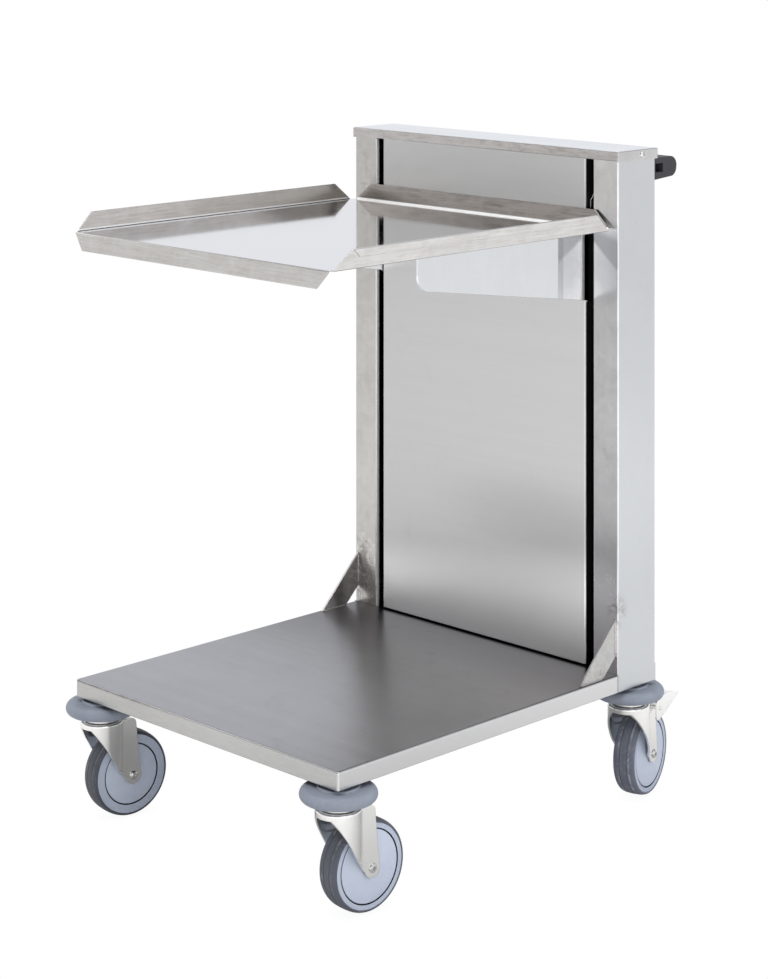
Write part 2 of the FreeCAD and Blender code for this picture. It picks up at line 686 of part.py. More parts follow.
def raised_flange(length):
    """Raised flange, its hem folded over on the outer face with the ends cut the other way."""
    strip = flange_strip(length, FLANGE_UP, RAISED_MITRE, inner_r=0.8)
    normal = Vector(0, FLANGE_UP, -FLANGE_LEAN)
    normal.normalize()
    rise = Vector(0, FLANGE_LEAN, FLANGE_UP)
    rise.normalize()
    top = Vector(0, FLANGE_LEAN, FLANGE_UP) + normal * TRAY_T
    low = top - rise * HEM
    top_half = length / 2 - RAISED_MITRE
    low_half = top_half - HEM * RAISED_MITRE / math.hypot(FLANGE_UP, FLANGE_LEAN)
    corners = [(-top_half, top.y, top.z), (top_half, top.y, top.z),
               (low_half, low.y, low.z), (-low_half, low.y, low.z)]
    strip = strip.fuse(prism(corners, normal * TRAY_T)).removeSplitter()
    return fillet(strip, 0.7, lambda edge, mid: along(edge, 0) and mid.z > FLANGE_UP - 1.0)


def tray():
    """Floor with raised flanges at the rear and sides and a turned-down front flange."""
    side_y0, side_y1 = TRAY_FRONT + 6.5, TRAY_REAR - 9.5
    floor = box(-TRAY_HALF + 5, TRAY_FRONT + 5, TRAY_TOP - TRAY_T,
                TRAY_HALF - 5, TRAY_REAR - 5, TRAY_TOP)
    rear = placed(raised_flange(2 * TRAY_HALF - 2 * CORNER), (-1, 0, 0), (0, 1, 0), (0, 0, 1),
                  (0, TRAY_REAR, TRAY_TOP))
    right = placed(raised_flange(side_y1 - side_y0), (0, 1, 0), (1, 0, 0), (0, 0, 1),
                   (TRAY_HALF, (side_y0 + side_y1) / 2, TRAY_TOP))
    front = placed(flange_strip(2 * FRONT_HALF, -FLANGE_DOWN, FRONT_MITRE, inner_r=0.6),
                   (1, 0, 0), (0, -1, 0), (0, 0, 1), (0, TRAY_FRONT, TRAY_TOP))
    return floor.fuse([rear, right, mirror_x(right), front]).removeSplitter()


def tray_fastener(x, y):
    """Weld stud under the tray with its flanged nut."""
    seat = ARM_TOP - ARM_T
    stud = cyl_z(3.0, ARM_TOP - 14, TRAY_TOP - TRAY_T, x, y)
    return stud.fuse(hexagon(10.0, seat - 5.0, seat, x, y)).fuse(
        cyl_z(7.0, seat - 1.2, seat, x, y)).removeSplitter()


save("tray", tray())
save("tray_fasteners", *[tray_fastener(side * STUD_X, y) for side in SIDES for y in STUD_Y])

# ---------------------------------------------------------------- castors
# Local frame of a castor: X across the wheel, Y along the trail, Z up from the floor.
WHEEL_R = 62.5
TRAIL = 40.5
DISC_R = 53.25           # bumper disc
DISC_T = 18.0
DISC_EDGE_R = DISC_T / 2
DISC_Z = 166.2
DISC_LOW, DISC_TOP = DISC_Z - DISC_T / 2, DISC_Z + DISC_T / 2
CROWN_TOP = 147.5
CROWN_R = 32.0           # outer radius of the fork's round crown
FORK_T = 3.0
FORK_IN = 20.2           # half the inner width of the fork at the wheel
FORK_OUT = FORK_IN + FORK_T
BOSS_R = 13.4            # rounded end of the cheeks round the axle
AXLE_R = 4.0
BALL_R = 2.5
BALL_Z = CROWN_TOP + BALL_R + FINE
HEAD_LOW = BALL_Z + BALL_R + FINE
PIVOT_Y, PIVOT_Z = 38.0, 134.5   # brake pedal pin
PIVOT_R = 3.0
PEDAL_IN = 32.8          # inner face of the pedal's side plates
PEDAL_T = 2.4
PEDAL_OUT = PEDAL_IN + PEDAL_T

# Edges of the fork's cheek from the side: (along the trail, height)
FORK_LEADING = [
    (-26.6, 138.6), (-23.6, 133.6), (-19.5, 127.4), (-13.7, 117.7), (-7.0, 107.0),
    (1.4, 92.6), (9.5, 79.6), (18.5, 68.6), (28.2, 57.6)]
FORK_TRAILING = [(52.2, 74.0), (49.0, 98.0), (46.4, 125.0), (45.2, 139.0)]

# One half of the rim and hub, and of the tyre: (x from the middle, radius)
TYRE_HALF = [
    (16.6, 57.3), (17.4, 57.7), (17.6, 58.4), (17.1, 59.4), (15.8, 60.5), (13.8, 61.3),
    (11.2, 61.9), (8.4, 62.2), (6.1, 62.3), (5.6, 61.9), (5.1, 62.35), (2.5, 62.47)]
HUB_HALF = [(4.0, 14.0), (12.0, 12.0), (19.7, 11.0), (19.7, 6.05)]

PEDAL_SIDE = [           # (along the trail, height, corner radius)
    (24.0, 146.5, 3), (24.0, 120.0, 6), (31.0, 117.0, 6), (54.0, 123.4, 0), (70.0, 128.4, 0),
    (86.0, 133.8, 0), (103.0, 139.4, 1.6), (103.0, 142.2, 0.8), (84.0, 147.4, 6),
    (62.0, 151.0, 6), (38.0, 151.0, 6)]
# (along the trail, height)
PEDAL_TOP = [
    (50.0, 150.7), (61.8, 150.6), (83.8, 147.0), (103.0, 141.8), (103.0, 139.4),
    (83.3, 144.7), (61.6, 148.2), (50.0, 148.3)]
BRAKE_SHOE = [
    (29.0, 129.8), (29.0, 127.4), (46.0, 127.4), (46.0, 130.5), (40.0, 136.6), (35.0, 136.6)]


def bumper_disc():
    rim = DISC_R - DISC_EDGE_R
    edge = arc_points(rim, DISC_Z, DISC_EDGE_R, -90, 90, 14)[1:-1]
    return revolve_z([(BOLT_HOLE_R, DISC_LOW), (rim, DISC_LOW)] + edge + [
        (rim, DISC_TOP), (30, DISC_TOP), (28, DISC_TOP + 2.2), (BOLT_HOLE_R, DISC_TOP + 2.2)])


def swivel_head():
    """Head between the disc and the crown, its skirt round the ball race."""
    return revolve_z([
        (BOLT_HOLE_R, HEAD_LOW), (23.5, HEAD_LOW), (23.5, CROWN_TOP + 0.6),
        (26.0, CROWN_TOP + 0.6), (27.0, CROWN_TOP + 1.6), (27.0, DISC_LOW - 2.0),
        (29.5, DISC_LOW - 1.2), (29.5, DISC_LOW), (BOLT_HOLE_R, DISC_LOW)])


def castor_bolt():
    """Bolt with a hexagon and washer under the crown and inside the deck channel."""
    head_top = 140.4
    washer_low = RIM_LOW + CHANNEL_T
    nut_low = washer_low + 1.6
    bolt = cyl_z(6.0, 132.0, 193.5, 0, 0).fuse(cyl_z(12.0, head_top, head_top + 2.4, 0, 0))
    bolt = bolt.fuse(hexagon(18.0, 133.0, head_top, 0, 0))
    bolt = bolt.fuse(hexagon(19.0, nut_low, nut_low + 7.4, 0, 0))
    return bolt.fuse(cyl_z(12.0, washer_low, nut_low, 0, 0)).removeSplitter()


def swivel_balls():
    angles = [math.radians(30 * i + 7) for i in range(12)]
    return [Part.makeSphere(BALL_R, Vector(17.5 * math.cos(a), 17.5 * math.sin(a), BALL_Z))
            for a in angles]


def crown_plan(radius, half, rear, z0, z1):
    """Block seen from above: round at the leading side, straight sides to the rear."""
    y = math.sqrt(radius * radius - half * half)
    edges = [line(Vector(half, rear, z0), Vector(half, y, z0)),
             arc(Vector(half, y, z0), Vector(0, -radius, z0), Vector(-half, y, z0)),
             line(Vector(-half, y, z0), Vector(-half, rear, z0)),
             line(Vector(-half, rear, z0), Vector(half, rear, z0))]
    return Part.Face(Part.Wire(edges)).extrude(Vector(0, 0, z1 - z0))


def fork_side_wire():
    """Fork from the side: skirt, swept leading edge, boss, trailing edge."""
    def on_boss(angle):
        angle = math.radians(angle)
        return Vector(TRAIL + BOSS_R * math.cos(angle), WHEEL_R + BOSS_R * math.sin(angle), 0)

    skirt_y, skirt_z = -36, FORK_LEADING[0][1]
    leading = [Vector(y, z, 0) for y, z in FORK_LEADING]
    trailing = [on_boss(352)] + [Vector(y, z, 0) for y, z in FORK_TRAILING]
    skirt_top, skirt_low = Vector(skirt_y, CROWN_TOP, 0), Vector(skirt_y, skirt_z, 0)
    crown_rear = Vector(37.2, CROWN_TOP, 0)
    return Part.Wire([
        line(skirt_top, skirt_low), line(skirt_low, leading[0]), spline(leading),
        line(leading[-1], on_boss(202)), arc(on_boss(202), on_boss(280), trailing[0]),
        spline(trailing), arc(trailing[-1], Vector(42.9, 145.0, 0), crown_rear),
        line(crown_rear, skirt_top)])


def fork(brake):
    """Pressed fork: round crown with a skirt, arched at the leading side, and two cheeks."""
    body = extrude_yz(fork_side_wire(), -40, 80)
    body = body.common(crown_plan(CROWN_R, FORK_OUT, 70.0, 0.0, CROWN_TOP))
    body = fillet(body, 3.0, lambda edge, mid:
                  all(abs(vertex.Z - CROWN_TOP) < 1e-3 for vertex in edge.Vertexes)
                  and abs(mid.z - CROWN_TOP) < 1e-3 and mid.y < 36.0)
    body = body.cut(crown_plan(CROWN_R - FORK_T, FORK_IN, 75.0, -1.0, CROWN_TOP - FORK_T))
    body = body.cut(cyl_z(6.0 + FINE, CROWN_TOP - 10, CROWN_TOP + 5, 0, 0))
    body = body.cut(cyl_x(AXLE_R + FINE, -40, 40, TRAIL, WHEEL_R))
    if brake:
        body = body.cut(cyl_x(PIVOT_R + FINE, -40, 40, PIVOT_Y, PIVOT_Z))
    return body


def axle():
    """Axle with its sleeve between the cheeks, a plain dome one side, a socketed one the other."""
    inner = FORK_IN - 0.05
    shape = revolve_x([
        (-FORK_OUT - 4.2, 0), (-FORK_OUT - 4.2, 3.2), (-FORK_OUT - 3.4, 5.2),
        (-FORK_OUT - 1.4, 7.0), (-FORK_OUT, 7.2), (-FORK_OUT, AXLE_R), (-inner, AXLE_R),
        (-inner, 6.0), (inner, 6.0), (inner, AXLE_R), (FORK_OUT, AXLE_R), (FORK_OUT, 6.6),
        (FORK_OUT + 1.2, 6.4), (FORK_OUT + 2.6, 5.2), (FORK_OUT + 3.3, 3.4),
        (FORK_OUT + 3.3, 0)])
    angles = [math.radians(60 * i) for i in range(6)]
    shape = shape.cut(prism([(FORK_OUT + 1.2, 2.6 * math.cos(a), 2.6 * math.sin(a))
                             for a in angles], (5, 0, 0)))
    shape.translate(Vector(0, TRAIL, WHEEL_R))
    return shape


def mirrored(half):
    """The points of a half profile on the other side, in reverse order."""
    return [(-x, r) for x, r in reversed(half)]


def wheel_part(profile):
    """Profile of (x, radius) turned about the wheel's axis."""
    shape = revolve_x(profile)
    shape.translate(Vector(0, TRAIL, WHEEL_R))
    return shape


def wheel_core(groove_r):
    """Rim and hub; the rim's side face runs in to the groove round the cover."""
    half = [(16.6, 57.2), (16.6, groove_r), (13.6, groove_r), (13.6, groove_r - 3.3),
            (4.0, groove_r - 4.9)] + HUB_HALF
    seat = [(-14.0, 57.2), (-14.0, 53.6), (14.0, 53.6), (14.0, 57.2)]
    return wheel_part(seat + half + mirrored(half))


def wheel_cover(side, groove_r):
    """Moulded disc that closes one side of the wheel inside the groove."""
    profile = [(13.7, 13.0), (13.7, groove_r - 3.5), (15.8, groove_r - 1.9),
               (16.5, groove_r - 2.7), (17.2, groove_r - 10.9), (17.8, 26.0), (18.2, 15.0),
               (18.2, 13.0)]
    return wheel_part([(side * x, r) for x, r in profile])


def tyre():
    """Crowned tread with two fine grooves, cheeks down to the rim flange."""
    seat = [(-13.95, 57.25), (-13.95, 53.65), (13.95, 53.65), (13.95, 57.25)]
    return wheel_part(TYRE_HALF + [(0.0, WHEEL_R)] + mirrored(TYRE_HALF) + seat)


def brake_pedal():
    """Side plates outside the crown, a sloping top plate as wide as both, pin and shoe."""
    left, right = [extrude_yz(rounded_wire(PEDAL_SIDE), x0, PEDAL_T)
                   for x0 in (-PEDAL_OUT, PEDAL_IN)]
    pedal = left.fuse(right)
    top = plate_yz(PEDAL_TOP, -PEDAL_OUT, PEDAL_OUT)
    top = fillet(top, 6.0, lambda edge, mid: along(edge, 2) and mid.y > 102)
    pedal = pedal.fuse(top)
    pedal = pedal.fuse(cyl_x(PIVOT_R, -PEDAL_OUT - 1.6, PEDAL_OUT + 1.6, PIVOT_Y, PIVOT_Z))
    return pedal.fuse(plate_yz(BRAKE_SHOE, -12.0, 12.0)).removeSplitter()


def at_castor(shape, castor):
    """Copy of a shape, moved from the local frame to its castor."""
    x, y, heading = castor[:3]
    result = shape.copy()
    result.rotate(ORIGIN, Z_AXIS, -heading)
    result.translate(Vector(x, y, 0))
    return result


def save_at_all(name, shapes):
    """Write one file with the shapes repeated at every castor."""
    save(name, *[at_castor(shape, castor) for castor in CASTORS.values() for shape in shapes])


save_at_all("bumper_discs", [bumper_disc()])
save_at_all("caster_heads", [swivel_head()])
save_at_all("caster_bolts", [castor_bolt()])
save_at_all("swivel_balls", swivel_balls())
for castor_name, castor in CASTORS.items():
    has_brake, groove_radius = castor[3:]
    pieces = {
        "fork": [fork(has_brake)],
        "axle": [axle()],
        "wheel_core": [wheel_core(groove_radius)],
        "tyre": [tyre()],
        "wheel_covers": [wheel_cover(side, groove_radius) for side in SIDES],
    }
    if has_brake:
        pieces["brake_pedal"] = [brake_pedal()]
    for piece, shapes in pieces.items():
        save(castor_name + "_" + piece, *[at_castor(shape, castor) for shape in shapes])
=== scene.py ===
import json
import math

import bpy
from mathutils import Matrix, Vector
from mathutils import noise as mnoise


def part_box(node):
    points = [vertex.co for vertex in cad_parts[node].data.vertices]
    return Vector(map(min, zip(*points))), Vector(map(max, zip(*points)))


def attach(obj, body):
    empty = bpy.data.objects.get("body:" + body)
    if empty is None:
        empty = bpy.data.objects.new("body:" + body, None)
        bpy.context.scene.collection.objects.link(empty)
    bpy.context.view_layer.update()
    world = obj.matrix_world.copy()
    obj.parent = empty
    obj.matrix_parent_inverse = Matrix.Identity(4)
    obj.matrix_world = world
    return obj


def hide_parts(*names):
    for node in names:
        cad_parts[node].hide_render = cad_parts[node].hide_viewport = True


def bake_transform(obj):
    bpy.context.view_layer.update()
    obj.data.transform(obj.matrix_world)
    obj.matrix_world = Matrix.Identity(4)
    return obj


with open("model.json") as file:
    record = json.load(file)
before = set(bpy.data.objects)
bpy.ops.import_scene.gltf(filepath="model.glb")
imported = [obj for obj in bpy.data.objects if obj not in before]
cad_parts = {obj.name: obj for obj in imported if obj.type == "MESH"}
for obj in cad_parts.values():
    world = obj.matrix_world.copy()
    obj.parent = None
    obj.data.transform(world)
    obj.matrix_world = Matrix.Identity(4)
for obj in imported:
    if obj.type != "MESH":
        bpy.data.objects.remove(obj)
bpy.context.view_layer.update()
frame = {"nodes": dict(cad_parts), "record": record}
NODES = frame["nodes"]

# Places read from the CAD, in metres.
DECK_LO, DECK_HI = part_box("deck_pan")
POST_LO, POST_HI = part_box("right_post")
TRAY_LO, TRAY_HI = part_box("tray")
CAP_LO, CAP_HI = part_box("top_cap")
PANEL_LO, PANEL_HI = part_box("front_panel")
FACE_Y = POST_LO.y            # plane of the column's front face
DECK_FRONT = DECK_LO.y        # the deck's free end
DECK_TOP = DECK_HI.z


# ---------------------------------------------------------------- node helpers
class Graph:
    """A short way to write one material's or world's nodes."""

    def __init__(self, tree):
        self.t = tree
        tree.nodes.clear()

    def node(self, kind, **props):
        n = self.t.nodes.new(kind)
        for k, v in props.items():
            setattr(n, k, v)
        return n

    def put(self, socket, value):
        if isinstance(value, bpy.types.NodeSocket):
            self.t.links.new(value, socket)
        elif value is not None:
            if socket.type == "RGBA" and len(value) == 3:
                value = (*value, 1.0)
            socket.default_value = value

    def math(self, op, a, b=None, c=None, clamp=False):
        n = self.node("ShaderNodeMath", operation=op, use_clamp=clamp)
        for i, v in enumerate((a, b, c)):
            if v is not None:
                self.put(n.inputs[i], v)
        return n.outputs[0]

    def vmath(self, op, a, b=None, scale=None):
        n = self.node("ShaderNodeVectorMath", operation=op)
        self.put(n.inputs[0], a)
        if b is not None:
            self.put(n.inputs[1], b)
        if scale is not None:
            self.put(n.inputs["Scale"], scale)
        return n.outputs["Value"] if op in ("DOT_PRODUCT", "LENGTH", "DISTANCE") else n.outputs[0]

    def mix(self, f, a, b, blend="MIX"):
        n = self.node("ShaderNodeMix", data_type="RGBA", blend_type=blend)
        self.put(n.inputs[0], f)
        self.put(n.inputs[6], a)
        self.put(n.inputs[7], b)
        return n.outputs[2]

    def mixf(self, f, a, b):
        n = self.node("ShaderNodeMix", data_type="FLOAT")
        self.put(n.inputs[0], f)
        self.put(n.inputs[2], a)
        self.put(n.inputs[3], b)
        return n.outputs[0]

    def mixv(self, f, a, b):
        n = self.node("ShaderNodeMix", data_type="VECTOR")
        self.put(n.inputs[0], f)
        self.put(n.inputs[4], a)
        self.put(n.inputs[5], b)
        return n.outputs[1]

    def span(self, v, a, b, lo=0.0, hi=1.0, smooth=False):
        n = self.node("ShaderNodeMapRange", interpolation_type="SMOOTHSTEP" if smooth else "LINEAR", clamp=True)
        for i, x in enumerate((v, a, b, lo, hi)):
            self.put(n.inputs[i], x)
        return n.outputs[0]

    def noise(self, vec, scale, detail=3.0, rough=0.5, distort=0.0, out="Fac"):
        n = self.node("ShaderNodeTexNoise")
        self.put(n.inputs["Vector"], vec)
        n.inputs["Scale"].default_value = scale
        n.inputs["Detail"].default_value = detail
        n.inputs["Roughness"].default_value = rough
        n.inputs["Distortion"].default_value = distort
        return n.outputs[out]

    def voronoi(self, vec, scale, feature="F1", rand=1.0):
        n = self.node("ShaderNodeTexVoronoi", feature=feature)
        self.put(n.inputs["Vector"], vec)
        n.inputs["Scale"].default_value = scale
        n.inputs["Randomness"].default_value = rand
        return n.outputs["Distance"]

    def ramp(self, f, stops):
        n = self.node("ShaderNodeValToRGB")
        e = n.color_ramp.elements
        while len(e) < len(stops):
            e.new(0.5)
        for x, (p, c) in zip(e, stops):
            x.position = p
            x.color = (*c, 1.0) if len(c) == 3 else c
        self.put(n.inputs[0], f)
        return n.outputs[0]

    def xyz(self, v):
        n = self.node("ShaderNodeSeparateXYZ")
        self.put(n.inputs[0], v)
        return n.outputs[0], n.outputs[1], n.outputs[2]

    def vec(self, x, y, z):
        n = self.node("ShaderNodeCombineXYZ")
        for i, v in enumerate((x, y, z)):
            self.put(n.inputs[i], v)
        return n.outputs[0]

    def bump(self, height, distance, strength=1.0, normal=None):
        n = self.node("ShaderNodeBump")
        n.inputs["Strength"].default_value = strength
        n.inputs["Distance"].default_value = distance
        self.put(n.inputs["Height"], height)
        if normal is not None:
            self.put(n.inputs["Normal"], normal)
        return n.outputs[0]

    def bevel(self, radius, samples=6):
        n = self.node("ShaderNodeBevel", samples=samples)
        n.inputs["Radius"].default_value = radius
        return n.outputs[0]

    def blob(self, p, centre, radii, soft=0.45):
        """1 inside an ellipsoid round centre, falling softly to 0 at its edge."""
        d = self.vmath("SUBTRACT", p, tuple(centre))
        d = self.vmath("DIVIDE", d, tuple(radii))
        return self.span(self.vmath("LENGTH", d), soft, 1.0, 1.0, 0.0, smooth=True)


def srgb(r, g, b):
    """Linear colour from 0-255 display values."""
    def f(c):
        c /= 255.0
        return c / 12.92 if c <= 0.04045 else ((c + 0.055) / 1.055) ** 2.4
    return f(r), f(g), f(b)


def scaled(c, k):
    return tuple(x * k for x in c)


def material(name):
    m = bpy.data.materials.new(name)
    m.use_nodes = True
    g = Graph(m.node_tree)
    out = g.node("ShaderNodeOutputMaterial")
    bsdf = g.node("ShaderNodeBsdfPrincipled")
    g.t.links.new(bsdf.outputs[0], out.inputs[0])
    tex = g.node("ShaderNodeTexCoord")
    g.p, g.nrm = tex.outputs["Object"], tex.outputs["Normal"]
    g.bsdf, g.out = bsdf, out
    return m, g


def axis_masks(g, sharp=0.7):
    """How far each face turns to X, Y or Z: three 0-1 masks."""
    nx, ny, nz = g.xyz(g.nrm)
    return tuple(g.span(g.math("ABSOLUTE", n), sharp - 0.06, sharp + 0.06) for n in (nx, ny, nz))


def streak_vector(g, along, fine=1.0):
    """Object position stretched so that a noise runs in thin streaks along the grain.
    along: one axis letter, or a dict that gives each facing ('x', 'y', 'z') its grain axis."""
    long, cross = 6.0, 900.0 * fine
    scale_of = {a: tuple(long if a == b else cross for b in "xyz") for a in "xyz"}
    if isinstance(along, str):
        return g.vmath("MULTIPLY", g.p, scale_of[along])
    mx, my, mz = axis_masks(g)
    v = g.mixv(mx, scale_of[along["z"]], scale_of[along["x"]])
    v = g.mixv(my, v, scale_of[along["y"]])
    return g.vmath("MULTIPLY", g.p, v)


UNIT = {"x": (1.0, 0.0, 0.0), "y": (0.0, 1.0, 0.0), "z": (0.0, 0.0, 1.0)}


def tangent_vector(g, along):
    if isinstance(along, str):
        return UNIT[along]
    mx, my, mz = axis_masks(g)
    v = g.mixv(mx, UNIT[along["z"]], UNIT[along["x"]])
    return g.mixv(my, v, UNIT[along["y"]])


def steel(name, dark, light, rough=0.3, along="z", aniso=0.0, grain=0.5, cloud=0.5, mottle=0.3,
          rough_var=0.06, wave=0.00012, grain_bump=0.000006, specks=0.25, edge=0.0011, across=None, fine_scale=1.0, extra=None):
    """Stainless sheet: rolling or brushing grain, cloudy tone, small specks and smears, and a slightly wavy surface."""
    m, g = material(name)
    sv = streak_vector(g, along, fine_scale)
    fine = g.noise(sv, 1.0, 3.0, 0.65)
    broad = g.noise(g.vmath("MULTIPLY", sv, (0.12, 0.12, 0.12)), 1.0, 3.0, 0.6)
    clouds = g.noise(g.p, 6.5, 4.0, 0.55, 0.6)
    mot = g.noise(g.p, 42.0, 5.0, 0.62, 0.9)
    sp = g.noise(g.p, 380.0, 2.0, 0.5)
    smear = g.noise(g.vmath("MULTIPLY", g.p, (9.0, 14.0, 5.0)), 1.0, 5.0, 0.7, 2.2)

    grain_v = g.math("ADD", g.math("MULTIPLY", g.math("SUBTRACT", fine, 0.5), 1.6),
                     g.math("MULTIPLY", g.math("SUBTRACT", broad, 0.5), 1.3))
    tone = g.math("MULTIPLY_ADD", g.math("SUBTRACT", clouds, 0.5), 1.8 * cloud, 0.5)
    tone = g.math("MULTIPLY_ADD", g.math("SUBTRACT", mot, 0.5), 1.6 * mottle, tone)
    tone = g.math("MULTIPLY_ADD", grain_v, 0.55 * grain, tone)
    tone = g.math("MULTIPLY_ADD", g.math("SUBTRACT", sp, 0.5), 0.5 * specks, tone)
    tone = g.math("MINIMUM", g.math("MAXIMUM", tone, 0.0), 1.0)
    colour = g.mix(tone, dark, light)
    smear_m = g.span(smear, 0.56, 0.74, 0.0, 1.0, smooth=True)
    colour = g.mix(g.math("MULTIPLY", smear_m, 0.16 * (cloud + mottle)), colour, scaled(dark, 0.72))

    r = g.math("MULTIPLY_ADD", g.math("SUBTRACT", clouds, 0.5), rough_var * 1.4, rough)
    r = g.math("MULTIPLY_ADD", g.math("SUBTRACT", fine, 0.5), rough_var, r)
    r = g.math("MULTIPLY_ADD", smear_m, rough_var * 0.9, r)
    r = g.math("MAXIMUM", r, 0.02)

    warp = g.noise(g.p, 3.2, 2.0, 0.45)
    n1 = g.bump(warp, wave * 3.0, 1.0, g.bevel(edge) if edge else None)
    n2 = g.bump(g.math("ADD", fine, g.math("MULTIPLY", mot, 0.6)), grain_bump, 1.0, n1)
    if extra is not None:
        colour, r = extra(g, colour, r)
    b = g.bsdf.inputs
    b["Metallic"].default_value = 1.0
    g.put(b["Base Color"], colour)
    g.put(b["Roughness"], r)
    g.put(b["Normal"], n2)
    if aniso:
        b["Anisotropic"].default_value = aniso
        g.put(b["Tangent"], tangent_vector(g, across or along))
    return m


def plastic(name, base, dark, light, rough=0.5, sheen=0.0, grain_scale=900.0, grain=0.00002, scuff=0.4,
            scuff_colour=None, cloud_scale=28.0, extra=None, specular=0.5):
    """Moulded plastic or rubber: uneven tone, fine moulded grain, scuffs that lighten the worn places."""
    m, g = material(name)
    clouds = g.noise(g.p, cloud_scale, 4.0, 0.6, 0.5)
    fine = g.noise(g.p, grain_scale, 2.0, 0.5)
    scr = g.noise(g.vmath("MULTIPLY", g.p, (210.0, 210.0, 34.0)), 1.0, 5.0, 0.75, 1.6)
    scr_m = g.span(scr, 0.56, 0.7, 0.0, 1.0, smooth=True)
    t = g.math("MULTIPLY_ADD", g.math("SUBTRACT", clouds, 0.5), 1.5, 0.5)
    t = g.math("MULTIPLY_ADD", g.math("SUBTRACT", fine, 0.5), 0.5, t, clamp=True)
    colour = g.mix(t, dark, light)
    colour = g.mix(0.45, colour, base)
    colour = g.mix(g.math("MULTIPLY", scr_m, scuff), colour, scuff_colour or scaled(light, 1.35))
    r = g.math("MULTIPLY_ADD", g.math("SUBTRACT", clouds, 0.5), 0.16, rough)
    r = g.math("MULTIPLY_ADD", scr_m, 0.12, r)
    if extra is not None:
        colour, r = extra(g, colour, r)
    b = g.bsdf.inputs
    g.put(b["Base Color"], colour)
    g.put(b["Roughness"], r)
    b["Specular IOR Level"].default_value = specular
    if sheen:
        b["Sheen Weight"].default_value = sheen
        b["Sheen Roughness"].default_value = 0.5
    n = g.bump(g.math("ADD", fine, g.math("MULTIPLY", clouds, 0.8)), grain, 1.0)
    g.put(b["Normal"], g.bump(scr_m, -0.00004, 1.0, n))
    return m


# ---------------------------------------------------------------- finishes
STEEL_D, STEEL_L = (0.52, 0.51, 0.505), (0.70, 0.695, 0.69)


